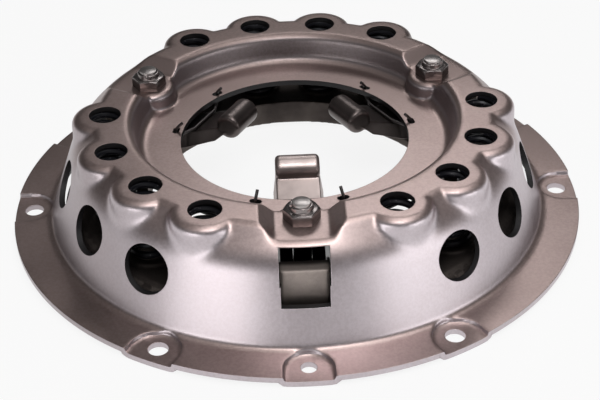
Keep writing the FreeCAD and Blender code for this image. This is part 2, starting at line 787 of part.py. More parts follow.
def make_lever(number, azimuth):
    """A pressed steel release lever, open below."""
    body = new_body("lever_%d" % number, station(azimuth))
    pivot_x = size("nut_circle")
    pivot_z = size("pivot_height")
    end_inner = pivot_x + size("eye_radius") + size("eye_clearance")
    end = end_inner + size("end_wall")
    tip = size("tip_roll_place")
    neck = size("lever_neck")
    knee = size("knee_place")
    web = size("web")
    flank = size("flank")
    foot = pivot_z - size("skirt_drop")
    top_half = size("web_width") / 2
    tip_half = size("web_tip_width") / 2
    stations = [
        (tip, tip_half, web_height(tip) - size("skirt_tip_depth")),
        (neck, tip_half, web_height(neck) - size("skirt_neck_depth")),
        (knee, top_half, web_height(knee) - size("skirt_knee_depth")),
        (size("lever_waist"), top_half, foot),
        (end, top_half, foot),
    ]
    outer = [lever_section(body, "lever_outer_%d" % index, x, web_height(x), half, low)
             for index, (x, half, low) in enumerate(stations)]
    loft(body, "lever_blank", outer)
    doc.recompute()
    start = tip + size("tip_roll_radius") + flank / 2
    hollow = [(start, tip_half, web_height(start) - size("skirt_neck_depth"))]
    hollow += stations[2:4]
    hollow.append((end_inner, top_half, foot))
    inner = [lever_section(body, "lever_inner_%d" % index, x, web_height(x) - web,
                           half + size("skirt_lean") * web - flank, low - flank)
             for index, (x, half, low) in enumerate(hollow)]
    loft(body, "lever_hollow", inner, "PartDesign::SubtractiveLoft")
    doc.recompute()

    roll = new_sketch(body, "lever_tip", "XY", (tip, 0, size("tip_roll_height")))
    draw_half_roll(roll, size("tip_roll_radius"), size("tip_width"), size("tip_corner"))
    turned = body.newObject("PartDesign::Revolution", "lever_tip_roll")
    turned.Profile = roll
    turned.ReferenceAxis = (roll, ["V_Axis"])
    turned.Angle = 360.0
    doc.recompute()

    nose = new_sketch(body, "lever_nose", "XZ")
    seat_x = size("arm_radius")
    seat_z = seat_height()
    nose_end = seat_x + size("strut_thickness")
    nose_top = seat_z - size("nose_lip")
    nose_low = seat_z - size("nose_drop")
    edge = size("nose_edge")
    wall = end_inner + SINK / 2
    high = pivot_z + edge
    draw_polygon(nose, [
        (wall, foot), (end - edge, foot), (end, nose_low), (nose_end - edge, nose_low),
        (nose_end, nose_low + edge), (nose_end, nose_top), (end, nose_top),
        (end - edge / 2, high), (wall, high)])
    pad(body, nose, "sizes.nose_width", middle=True)
    doc.recompute()

    groove = new_sketch(body, "strut_groove", "XZ")
    draw_circle(groove, seat_x, seat_z, "sizes.strut_thickness / 2 + sizes.strut_clearance")
    pocket(body, groove, CUT_DEPTH, middle=True)

    slot = new_sketch(body, "shank_slot", "XY", (0, 0, pivot_z + size("end_wall")))
    slot_half = size("shank_radius") + size("slot_room")
    slot_start = pivot_x - size("eye_radius")
    draw_polygon(slot, [(slot_start, -slot_half), (end + REACH, -slot_half),
                        (end + REACH, slot_half), (slot_start, slot_half)])
    pocket(body, slot, CUT_DEPTH, backwards=True)

    hole = new_sketch(body, "pin_hole", "XZ")
    draw_circle(hole, pivot_x, pivot_z, "sizes.pin_radius")
    pocket(body, hole, CUT_DEPTH, middle=True)
    body_tip_checked(body)
    return body


def draw_half_roll(sketch, radius, width, corner):
    """Half the outline of a roll, from its axis out, with broken ends."""
    half = width / 2
    draw_polygon(sketch, [(0, half), (radius - corner, half), (radius, half - corner),
                          (radius, corner - half), (radius - corner, -half), (0, -half)])


def make_lever_pin(number, azimuth):
    """The pivot pin through the lever's sides and the eye."""
    body = new_body("lever_pin_%d" % number, station(azimuth))
    sketch = new_sketch(body, "pin_circle", "XZ")
    draw_circle(sketch, size("nut_circle"), size("pivot_height"), "sizes.pin_radius")
    pad(body, sketch, "sizes.pin_length", middle=True)
    body_tip_checked(body)
    return body


def make_eyebolt(number, azimuth):
    """The eyebolt that carries a lever's pivot."""
    body = new_body("eyebolt_%d" % number, station(azimuth))
    x = size("nut_circle")
    z = size("pivot_height")
    eye = new_sketch(body, "eye", "XZ")
    draw_circle(eye, x, z, "sizes.eye_radius")
    pad(body, eye, "sizes.eye_width", middle=True)
    doc.recompute()
    shank = new_sketch(body, "shank", "XY", (0, 0, z))
    draw_circle(shank, x, 0, "sizes.shank_radius")
    pad(body, shank, bolt_end() - z)
    doc.recompute()
    bore = new_sketch(body, "eye_bore", "XZ")
    draw_circle(bore, x, z, "sizes.pin_radius + sizes.pin_clearance")
    pocket(body, bore, CUT_DEPTH, middle=True)
    body_tip_checked(body)
    return body


def collar_top():
    """Top of the nut's collar."""
    return size("nut_pad_height") + size("nut_hex_height") + size("collar_height")


def bolt_end():
    """Top of the eyebolt."""
    return collar_top() + size("bolt_stand_out")


def make_adjusting_nut(number, azimuth):
    """The staked nut that sets a lever's height."""
    body = new_body("adjusting_nut_%d" % number, station(azimuth))
    x = size("nut_circle")
    floor = size("nut_pad_height")
    hexagon = new_sketch(body, "nut_hexagon", "XY", (x, 0, floor))
    corner = size("nut_flats") / math.sqrt(3)
    draw_polygon(hexagon, [(corner * math.cos(math.radians(60 * side)),
                            corner * math.sin(math.radians(60 * side))) for side in range(6)])
    pad(body, hexagon, "sizes.nut_hex_height")
    doc.recompute()
    collar = new_sketch(body, "nut_collar", "XY", (x, 0, floor + size("nut_hex_height")))
    draw_circle(collar, 0, 0, "sizes.collar_radius")
    pad(body, collar, "sizes.collar_height")
    doc.recompute()
    bore = new_sketch(body, "nut_bore", "XY", (x, 0, floor))
    draw_circle(bore, 0, 0, "sizes.shank_radius")
    pocket(body, bore, CUT_DEPTH, middle=True)
    body_tip_checked(body)
    return body


def make_strut(number, azimuth):
    """The strut between a lever's nose and its lug."""
    body = new_body("strut_%d" % number, station(azimuth))
    half = size("strut_thickness") / 2
    x = size("arm_radius")
    low = seat_height()
    high = groove_top() - size("strut_clearance") - half
    sketch = new_sketch(body, "strut_side", "XZ")
    vector = FreeCAD.Vector
    sketch.addGeometry([
        Part.LineSegment(vector(x + half, low, 0), vector(x + half, high, 0)),
        Part.Arc(vector(x + half, high, 0), vector(x, high + half, 0), vector(x - half, high, 0)),
        Part.LineSegment(vector(x - half, high, 0), vector(x - half, low, 0)),
        Part.Arc(vector(x - half, low, 0), vector(x, low - half, 0), vector(x + half, low, 0)),
    ])
    pad(body, sketch, "sizes.strut_width", middle=True)
    body_tip_checked(body)
    return body


def make_rattle_spring(number, azimuth):
    """The bent wire over a lever, with its ends through the inner ring."""
    wire = size("rattle_wire")
    x = size("rattle_place")
    angle = math.radians(size("slot_angle"))
    slot_x = size("slot_circle") * math.cos(angle)
    slot_y = size("slot_circle") * math.sin(angle)
    under = size("ring_height") - size("sheet") - wire
    over = web_height(x) + size("rattle_gap") + wire
    top = size("ring_height") + wire
    lean = math.radians(size("rattle_lean"))
    reach = size("rattle_end") * math.cos(lean)
    inward = FreeCAD.Vector(-math.cos(angle) * reach, -math.sin(angle) * reach,
                            size("rattle_end") * math.sin(lean))
    side = [
        FreeCAD.Vector(x, size("web_width") / 2 + wire, over),
        FreeCAD.Vector(slot_x, slot_y, under),
        FreeCAD.Vector(slot_x, slot_y, top),
        FreeCAD.Vector(slot_x, slot_y, top) + inward,
    ]
    route = [FreeCAD.Vector(spot.x, -spot.y, spot.z) for spot in reversed(side)] + side
    bend = size("rattle_bend")
    outline = rounded_points(route, [bend] * (len(route) - 2), WIRE_CHORDS)
    ahead = (outline[1] - outline[0]).normalize()
    aside = ahead.cross(Z_AXIS).normalize() * wire
    ring = [outline[0] + FreeCAD.Rotation(ahead, 360.0 * turn / WIRE_SIDES).multVec(aside)
            for turn in range(WIRE_SIDES)]
    section = Part.makePolygon(ring + ring[:1])
    shape = Part.makePolygon(outline).makePipeShell([section], True, False, MITRED)
    return shape_feature("anti_rattle_spring_%d" % number, shape, station(azimuth))


def make_pressure_spring(number, azimuth):
    """A coil spring between its seat on the plate and its cup, ends ground flat."""
    name = "pressure_spring_%02d" % number
    low = seat_top()
    high = size("plateau_height") - size("sheet")
    height = high - low
    pitch = height / size("spring_turns")
    steps = int(size("spring_turns") * SPRING_CHORDS)
    coil = []
    for step in range(steps + 1):
        turn = step / SPRING_CHORDS
        spot = FreeCAD.Rotation(Z_AXIS, 360.0 * turn).multVec(
            FreeCAD.Vector(size("spring_radius"), 0, 0))
        coil.append(spot + Z_AXIS * (pitch * turn))
    path = shape_feature(name + "_path", Part.makePolygon(coil))
    section = label(doc.addObject("Part::RegularPolygon", name + "_wire"), name + "_wire")
    section.Polygon = SPRING_SIDES
    section.setExpression("Circumradius", "sizes.spring_wire")
    section.Placement = FreeCAD.Placement(
        coil[0], FreeCAD.Rotation(Z_AXIS, coil[1] - coil[0]))
    rod = label(doc.addObject("Part::Sweep", name + "_rod"), name + "_rod")
    rod.Sections = [section]
    rod.Spine = (path, ["Edge%d" % step for step in range(1, steps + 1)])
    rod.Transition = "Right corner"
    rod.Solid = True
    rod.Frenet = False
    room = label(doc.addObject("Part::Cylinder", name + "_room"), name + "_room")
    room.Radius = size("cup_radius")
    room.Height = height
    spring = label(doc.addObject("Part::Common", name), name)
    spring.Base = rod
    spring.Tool = room
    spring.Placement = FreeCAD.Placement(
        at_station(azimuth, size("spring_circle"), low), station(azimuth).Rotation)
    return spring


def make_all():
    """Every sub-part of the assembly."""
    pieces = [make_cover(), make_pressure_plate()]
    for number, azimuth in enumerate(lever_azimuths(), start=1):
        pieces.append(make_lever(number, azimuth))
        pieces.append(make_lever_pin(number, azimuth))
        pieces.append(make_eyebolt(number, azimuth))
        pieces.append(make_adjusting_nut(number, azimuth))
        pieces.append(make_strut(number, azimuth))
        pieces.append(make_rattle_spring(number, azimuth))
    for number, azimuth in enumerate(spring_azimuths(), start=1):
        pieces.append(make_pressure_spring(number, azimuth))
    doc.recompute()
    return pieces


def check_and_export(pieces):
    """Stop on any failed object, then write each sub-part."""
    for thing in doc.Objects:
        if "Invalid" in thing.State or "Error" in thing.State:
            raise RuntimeError("failed object " + thing.Name)
    for piece in pieces:
        shape = piece.Shape
        if shape.isNull() or not shape.isValid():
            raise RuntimeError("bad shape in " + piece.Label)
    for piece in pieces:
        shape = piece.Shape
        box = shape.BoundBox
        print("%-22s solids %d volume %.0f z %.2f..%.2f" % (
            piece.Label, len(shape.Solids), shape.Volume, box.ZMin, box.ZMax))
        shape.exportStep("parts/%s.step" % piece.Label)


write_sizes()
check_and_export(make_all())
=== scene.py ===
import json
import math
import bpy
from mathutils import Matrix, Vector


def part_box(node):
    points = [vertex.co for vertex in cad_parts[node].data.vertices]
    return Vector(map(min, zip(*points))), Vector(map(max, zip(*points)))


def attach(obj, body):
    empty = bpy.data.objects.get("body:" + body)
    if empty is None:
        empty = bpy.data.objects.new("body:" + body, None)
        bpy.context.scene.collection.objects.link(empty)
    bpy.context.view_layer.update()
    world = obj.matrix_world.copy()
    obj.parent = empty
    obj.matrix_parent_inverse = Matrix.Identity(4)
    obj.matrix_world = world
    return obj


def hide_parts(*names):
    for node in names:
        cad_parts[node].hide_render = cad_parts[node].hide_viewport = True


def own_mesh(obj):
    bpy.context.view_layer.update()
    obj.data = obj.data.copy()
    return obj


bl_info = {
    "name": "Clutch cover assembly",
    "version": (1, 0, 0),
    "blender": (4, 5, 0),
    "location": "View3D > Sidebar > Clutch",
    "description": "Pressed cover, plate, levers, nuts and coil springs of a dry clutch",
    "category": "Add Mesh",
}

import bpy
from bpy.props import FloatProperty, FloatVectorProperty, IntProperty, PointerProperty
from mathutils import Matrix, Vector

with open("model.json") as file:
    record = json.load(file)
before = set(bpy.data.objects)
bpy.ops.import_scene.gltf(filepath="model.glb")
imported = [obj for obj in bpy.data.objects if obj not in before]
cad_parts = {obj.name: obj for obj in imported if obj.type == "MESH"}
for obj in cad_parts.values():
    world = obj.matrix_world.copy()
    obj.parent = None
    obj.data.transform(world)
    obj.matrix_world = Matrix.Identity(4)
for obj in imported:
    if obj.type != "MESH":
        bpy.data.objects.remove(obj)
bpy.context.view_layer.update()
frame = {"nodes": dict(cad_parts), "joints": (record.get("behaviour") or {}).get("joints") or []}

MM = 0.001
LEVERS = 3
SECTOR = math.radians(360 / LEVERS)
SPRINGS_PER_LEVER = 4
X_AXIS = (1, 0, 0)
Z_AXIS = (0, 0, 1)
MERGE = 0.01 * MM
BLANK_SPARE = 12 * MM
PUNCH_DEPTH = 20 * MM


# Places round the axis

def at_angle(azimuth, radius, height=0.0):
    """Point at an azimuth counted from -Y towards +X."""
    turn = azimuth - math.pi / 2
    return Vector((radius * math.cos(turn), radius * math.sin(turn), height))


def lever_azimuths():
    """The levers' azimuths, the first one in front."""
    return [SECTOR * index for index in range(LEVERS)]


def spring_azimuths():
    """Four springs stand between two levers."""
    gap = size().spring_gap
    first = -0.5 * (SPRINGS_PER_LEVER - 1)
    return [lever + SECTOR / 2 + (first + index) * gap
            for lever in lever_azimuths() for index in range(SPRINGS_PER_LEVER)]


def wall_hole_azimuths():
    """Three holes in the wall, between the four springs."""
    gap = size().spring_gap
    return [lever + SECTOR / 2 + step * gap for lever in lever_azimuths() for step in (-1, 0, 1)]


def bolt_azimuths():
    """Six mounting bolts, a quarter sector to either side of each lever."""
    return [lever + side * SECTOR / 4 for lever in lever_azimuths() for side in (-1, 1)]


def turned_to(azimuth):
    """Matrix that takes a piece drawn with X outward to its azimuth."""
    return Matrix.Rotation(azimuth - math.pi / 2, 4, "Z")


def ramp(value, start, run):
    """0 up to the start, 1 past the run, straight between."""
    return min(max((value - start) / run, 0), 1)


# Work by hand, in code

def deselect():
    bpy.ops.object.select_all(action="DESELECT")


def activate(piece):
    """Make one object the only selected and the active one."""
    deselect()
    piece.select_set(True)
    bpy.context.view_layer.objects.active = piece


def edit(piece):
    """Edit mode with all of the piece selected."""
    activate(piece)
    bpy.ops.object.mode_set(mode="EDIT")
    bpy.ops.mesh.select_all(action="SELECT")


def leave_edit():
    bpy.ops.object.mode_set(mode="OBJECT")


def settle(piece):
    """Put a piece's place and turn into its mesh."""
    activate(piece)
    bpy.ops.object.transform_apply(location=True, rotation=True, scale=True)


def named(name):
    """Name the active object and hand it back."""
    piece = bpy.context.active_object
    piece.name = name
    piece.data.name = name
    return piece


def apply_modifier(piece, kind, **settings):
    """Add a modifier with its settings and apply it."""
    activate(piece)
    modifier = piece.modifiers.new(kind.lower(), kind)
    for key, value in settings.items():
        setattr(modifier, key, value)
    bpy.ops.object.modifier_apply(modifier=modifier.name)


def recalculate(piece):
    """Merge doubles and point all faces outwards."""
    edit(piece)
    bpy.ops.mesh.remove_doubles(threshold=MERGE)
    bpy.ops.mesh.normals_make_consistent(inside=False)
    leave_edit()


def joined(name, pieces):
    """Several objects as one."""
    deselect()
    for piece in pieces:
        piece.select_set(True)
    bpy.context.view_layer.objects.active = pieces[0]
    bpy.ops.object.join()
    return named(name)


def carve(piece, tool, operation="DIFFERENCE", solver="EXACT"):
    """Boolean with a tool that is then thrown away."""
    apply_modifier(piece, "BOOLEAN", operation=operation, object=tool, solver=solver)
    bpy.data.objects.remove(tool, do_unlink=True)


def outline(name, points):
    """A string of edges through points in the XZ plane, by extrusion."""
    bpy.ops.mesh.primitive_plane_add(size=MM, location=(points[0][0], 0, points[0][1]))
    piece = named(name)
    settle(piece)
    edit(piece)
    bpy.ops.mesh.merge(type="CENTER")
    for (x, z), (next_x, next_z) in zip(points, points[1:]):
        bpy.ops.mesh.extrude_vertices_move(
            TRANSFORM_OT_translate={"value": (next_x - x, 0, next_z - z)})
    leave_edit()
    return piece


def rounded(corners, radii, steps=6):
    """An open outline whose inner corners are arcs."""
    points = [Vector(corners[0])]
    for before, corner, after, radius in zip(corners, corners[1:], corners[2:], radii):
        corner = Vector(corner)
        back = (Vector(before) - corner).normalized()
        ahead = (Vector(after) - corner).normalized()
        half = back.angle(ahead) / 2
        middle = corner + (back + ahead).normalized() * radius / math.sin(half)
        start = corner + back * radius / math.tan(half) - middle
        end = corner + ahead * radius / math.tan(half) - middle
        points += [middle + start.lerp(end, step / steps).normalized() * radius
                   for step in range(steps + 1)]
    return points + [Vector(corners[-1])]


def turned(name, points, steps):
    """A closed solid turned about the axis from an outline that starts and ends on it."""
    piece = outline(name, points)
    edit(piece)
    bpy.ops.mesh.spin(steps=steps, angle=2 * math.pi, center=(0, 0, 0), axis=Z_AXIS)
    leave_edit()
    recalculate(piece)
    return piece


def extruded(name, points, start, reach):
    """A prism whose outline lies in the YZ plane, along X from its start."""
    piece = outline(name, points + [points[0]])
    edit(piece)
    bpy.ops.mesh.remove_doubles(threshold=MERGE)
    bpy.ops.mesh.select_all(action="SELECT")
    bpy.ops.mesh.edge_face_add()
    bpy.ops.mesh.extrude_region_move(TRANSFORM_OT_translate={"value": (0, reach, 0)})
    leave_edit()
    piece.data.transform(Matrix.Translation((start, 0, 0)) @ Matrix.Rotation(-math.pi / 2, 4, "Z"))
    recalculate(piece)
    return piece


def rod(name, radius, depth, place, vertices=48, direction=None):
    """A round rod, upright or along a direction, with its middle at a place."""
    bpy.ops.mesh.primitive_cylinder_add(radius=radius, depth=depth, vertices=vertices,
                                        location=place)
    piece = named(name)
    if direction is not None:
        piece.rotation_mode = "QUATERNION"
        piece.rotation_quaternion = Vector(Z_AXIS).rotation_difference(direction)
    settle(piece)
    return piece


def tall_rod(name, radius, vertices):
    """A round tool on the axis that reaches past the cover at both ends."""
    return rod(name, radius, 200 * MM, (0, 0, 50 * MM), vertices)


def block(name, low, high):
    """A plain box tool between two corners."""
    low, high = Vector(low), Vector(high)
    bpy.ops.mesh.primitive_cube_add(size=1, location=(low + high) / 2)
    piece = named(name)
    piece.scale = high - low
    settle(piece)
    return piece


def copy_at(piece, name, azimuth):
    """A copy with its own mesh, turned about the axis to its azimuth."""
    copy = piece.copy()
    copy.data = piece.data.copy()
    copy.name = name
    copy.data.name = name
    bpy.context.collection.objects.link(copy)
    copy.data.transform(Matrix.Rotation(azimuth, 4, "Z"))
    return copy


def from_node(name, node):
    """A merged copy of a node's own shape, to be worked over."""
    piece = bpy.data.objects.new(name, frame["nodes"][node].data.copy())
    piece.data.name = name
    piece.data.materials.clear()
    bpy.context.collection.objects.link(piece)
    edit(piece)
    bpy.ops.mesh.remove_doubles(threshold=0.002 * MM)
    leave_edit()
    return piece


def round_edges(piece, width, segments, sharper_than=60):
    """Bevel the edges that turn by more than an angle in degrees."""
    apply_modifier(piece, "BEVEL", width=width, segments=segments, limit_method="ANGLE",
                   angle_limit=math.radians(sharper_than))


def cast_over(piece, voxel, rounds):
    """Even skin over a piece, smoothed so that its edges are soft."""
    activate(piece)
    piece.data.remesh_voxel_size = voxel
    bpy.ops.object.voxel_remesh()
    apply_modifier(piece, "SMOOTH", factor=0.5, iterations=rounds)


def smooth_faces(piece, crease=35):
    """Smooth shading, crisp where faces turn by more than an angle in degrees."""
    activate(piece)
    bpy.ops.object.shade_smooth_by_angle(angle=math.radians(crease))


def with_broken_edges(name, node, width):
    """A copy of a node's own shape with its sharp edges broken."""
    piece = from_node(name, node)
    edit(piece)
    bpy.ops.mesh.dissolve_limited(angle_limit=math.radians(1))
    leave_edit()
    round_edges(piece, width, 2, sharper_than=40)
    smooth_faces(piece)
    return piece


def finish_piece(piece, material, slot, body, *nodes):
    """Material, body and the nodes that a piece stands for. The slot is not used."""
    if material is not None:
        piece.data.materials.clear()
        piece.data.materials.append(material)
    if nodes:
        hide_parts(*nodes)
    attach(piece, body)
    return piece


def finish_at_levers(rows):
    """Each piece in the rows at every lever: itself at the first, a copy at the others."""
    for number, azimuth in enumerate(lever_azimuths(), start=1):
        for piece, stem, material, slot, body in rows:
            copy = piece
            if number > 1:
                copy = copy_at(piece, "%s_%d" % (stem, number), azimuth)
            finish_piece(copy, material, slot, body.format(number), "%s_%d" % (slot, number))


# Shader maths

BEVEL_SAMPLES = 6
TURNED_WAVE = 9000.0  # radians a metre, which is a groove every 0.7 mm


class Wire:
    """A shader socket that takes part in Python expressions."""

    def __init__(self, graph, socket):
        self.graph = graph
        self.socket = socket

    def maths(self, operation, *others):
        values = [self, *others]
        return self.graph.node("ShaderNodeMath", {"operation": operation}, dict(enumerate(values)))

    def __add__(self, other):
        return self.maths("ADD", other)

    def __radd__(self, other):
        return self + other

    def __sub__(self, other):
        return self.maths("SUBTRACT", other)

    def __rsub__(self, other):
        return self.graph.node("ShaderNodeMath", {"operation": "SUBTRACT"}, {0: other, 1: self})

    def __mul__(self, other):
        return self.maths("MULTIPLY", other)

    def __rmul__(self, other):
        return self * other

    def __truediv__(self, other):
        return self.maths("DIVIDE", other)

    def step(self, low, high):
        """0 below low, 1 above high, smooth between."""
        return self.graph.node("ShaderNodeMapRange", {"interpolation_type": "SMOOTHSTEP"},
                               {"Value": self, "From Min": low, "From Max": high})


class Graph:
    """The nodes of one material."""

    def __init__(self, name):
        self.material = bpy.data.materials.new(name)
        self.material.use_nodes = True
        self.tree = self.material.node_tree
        self.tree.nodes.clear()
        self.output = self.tree.nodes.new("ShaderNodeOutputMaterial")

    def node(self, kind, settings=None, inputs=None, output=0):
        """Add a node, set it up, link or fill its sockets, and hand back one output."""
        node = self.tree.nodes.new(kind)
        for key, value in (settings or {}).items():
            setattr(node, key, value)
        self.fill(node, inputs or {})
        return Wire(self, node.outputs[output])

    def fill(self, node, inputs):
        for key, value in inputs.items():
            if isinstance(value, Wire):
                self.tree.links.new(value.socket, node.inputs[key])
            else:
                node.inputs[key].default_value = value

    def mix(self, factor, first, second):
        """Colour between two colours."""
        return self.node("ShaderNodeMix", {"data_type": "RGBA"},
                         {0: factor, 6: colour(first), 7: colour(second)}, output=2)

    def coordinates(self):
        return self.node("ShaderNodeTexCoord", output=3)

    def noise(self, scale, detail=3.0, roughness=0.55, where=None):
        """Grain of a size given in waves per metre."""
        return self.node("ShaderNodeTexNoise", None,
                         {"Vector": where or self.coordinates(), "Scale": scale,
                          "Detail": detail, "Roughness": roughness})

    def parts(self):
        """X, Y and Z of a point on the piece."""
        node = self.tree.nodes.new("ShaderNodeSeparateXYZ")
        self.fill(node, {"Vector": self.coordinates()})
        return [Wire(self, socket) for socket in node.outputs]

    def facing_up(self):
        """1 on a face that lies flat, 0 on an upright one."""
        normal = self.node("ShaderNodeTexCoord", output=1)
        node = self.tree.nodes.new("ShaderNodeSeparateXYZ")
        self.fill(node, {"Vector": normal})
        return Wire(self, node.outputs[2])

    def surface(self, **inputs):
        """The shader itself, its sockets named with underscores for spaces."""
        shader = self.tree.nodes.new("ShaderNodeBsdfPrincipled")
        self.fill(shader, {key.replace("_", " "): value for key, value in inputs.items()})
        self.tree.links.new(shader.outputs[0], self.output.inputs["Surface"])
        return self.material

    def bump(self, height, strength, distance, normal=None):
        inputs = {"Height": height, "Strength": strength, "Distance": distance}
        if normal is not None:
            inputs["Normal"] = normal
        return self.node("ShaderNodeBump", None, inputs)

    def rounded(self, radius):
        """Normals that round off sharp edges."""
        return self.node("ShaderNodeBevel", {"samples": BEVEL_SAMPLES}, {"Radius": radius})


def colour(value):
    """A colour with alpha, or the wire as it is."""
    if isinstance(value, Wire):
        return value
    return (*value[:3], 1.0)


def distance_from_axis(graph):
    """Radius of a point about the cover's axis."""
    x, y, _ = graph.parts()
    return (x * x + y * y).maths("SQRT")


def pressed_steel():
    """Bare drawing steel, satin, with painted shade that makes faces lying flat darker and
    browner, and painted shade over the back and the left side.
    """
    graph = Graph("pressed_steel")
    look = finish()
    cloud = graph.noise(14.0, detail=4.0, roughness=0.6)
    fine = graph.noise(900.0, detail=2.0)
    flat = graph.facing_up().step(0.38, 0.85)
    speck = graph.noise(520.0, roughness=0.7).step(0.36, 0.64)
    wash = 0.55 * cloud.step(0.35, 0.68) + 0.45 * speck
    wall = graph.mix(wash, look.steel_dark, look.steel_light)
    # Painted shade: faces that lie flat get the darker, browner colours.
    brown = graph.mix(wash, look.flat_shade_dark, look.flat_shade_light)
    base = graph.mix(flat, wall, brown)
    x, y, _ = graph.parts()
    # Painted shade: the back half and the left side are mixed towards a dark colour, the back by
    # an amount that varies with the clouds.
    back_painted_shade = y.step(-20 * MM, 100 * MM) * (0.45 + 0.3 * wash)
    left_painted_shade = (1.0 - x.step(-150 * MM, -50 * MM)) * 0.4
    base = graph.mix(back_painted_shade.maths("MAXIMUM", left_painted_shade), base, look.steel_painted_shade)
    rough = 0.29 + 0.08 * wash + 0.06 * fine + 0.03 * flat
    normal = graph.bump(fine, 0.12, 0.2 * MM, graph.rounded(0.6 * MM))
    return graph.surface(Base_Color=base, Metallic=1.0, Roughness=rough, Normal=normal)


def inner_black():
    """Painted shade, near black, on the inside of the cover and the cut edges of its holes."""
    graph = Graph("inner_black")
    look = finish()
    cloud = graph.noise(40.0)
    base = graph.mix(cloud.step(0.35, 0.65), look.inside_shade_dark, look.inside_shade_light)
    return graph.surface(Base_Color=base, Metallic=0.2, Roughness=0.55,
                         Normal=graph.rounded(0.5 * MM))


def lever_shade_mask(graph):
    """Painted shade: 1 on a lever's end under the cover, less on the two levers at the back."""
    _, y, _ = graph.parts()
    covered = distance_from_axis(graph).step(78 * MM, 92 * MM)
    return covered.maths("MAXIMUM", 0.75 * y.step(-30 * MM, 10 * MM))


def shank_shade_mask(graph):
    """Painted shade: 1 on an eyebolt below its nut."""
    _, _, height = graph.parts()
    return 1.0 - height.step(55 * MM, 60 * MM)


def bright_steel(name, shade, roughness, painted_shade_mask=None):
    """Machined or ground steel with a fine grain, with painted shade where a mask is given."""
    graph = Graph(name)
    cloud = graph.noise(60.0)
    fine = graph.noise(700.0, detail=2.0)
    dark = [0.72 * part for part in shade]
    base = graph.mix(cloud.step(0.3, 0.7), dark, shade)
    if painted_shade_mask is not None:
        # Painted shade: near black where the mask is 1.
        base = graph.mix(painted_shade_mask(graph), base, [0.05 * part for part in shade])
    rough = roughness + 0.1 * fine
    normal = graph.bump(fine, 0.15, 0.2 * MM, graph.rounded(0.4 * MM))
    return graph.surface(Base_Color=base, Metallic=1.0, Roughness=rough, Normal=normal)


def cast_iron():
    """Rough iron with rubbed lugs and a turned friction face underneath."""
    graph = Graph("plate_iron")
    look = finish()
    _, _, height = graph.parts()
    radius = distance_from_axis(graph)
    turned_face = 1.0 - height.step(4.5 * MM, 6.2 * MM)
    lug = radius.step(128 * MM, 132 * MM) * height.step(22 * MM, 30 * MM)
    grains = graph.noise(260.0, detail=5.0, roughness=0.65)
    rings = (radius * TURNED_WAVE).maths("SINE") * turned_face
    base = graph.mix(graph.noise(30.0).step(0.3, 0.7), look.iron_dark, look.iron_light)
    base = graph.mix(turned_face * 0.8, base, look.iron_turned)
    base = graph.mix(lug * (0.5 + 0.5 * grains), base, look.iron_lug)
    rough = 0.62 - 0.22 * turned_face + 0.1 * grains
    relief = grains * (1.0 - turned_face) * 6.0 + rings * 0.5
    normal = graph.bump(relief, 0.2, 0.2 * MM)
    return graph.surface(Base_Color=base, Metallic=1.0, Roughness=rough, Normal=normal)


def black_paint():
    """Satin black on the coil springs, thin on their crowns."""
    graph = Graph("spring_black")
    look = finish()
    chips = graph.noise(400.0, detail=4.0).step(0.62, 0.7)
    base = graph.mix(chips, look.spring_black, look.spring_worn)
    return graph.surface(Base_Color=base, Metallic=0.3, Roughness=0.34 + 0.1 * chips,
                         Normal=graph.bump(chips, 0.1, -0.1 * MM))


# Sizes and colours that a user would change

def length(name, description, default):
    """A length in metres."""
    return FloatProperty(name=name, description=description, default=default, unit="LENGTH")


def angle(name, description, degrees):
    """An angle, its default given in degrees."""
    return FloatProperty(name=name, description=description, default=math.radians(degrees),
                         subtype="ANGLE")


def tint(name, description, *default):
    """A colour."""
    return FloatVectorProperty(name=name, description=description, default=default,
                               subtype="COLOR")


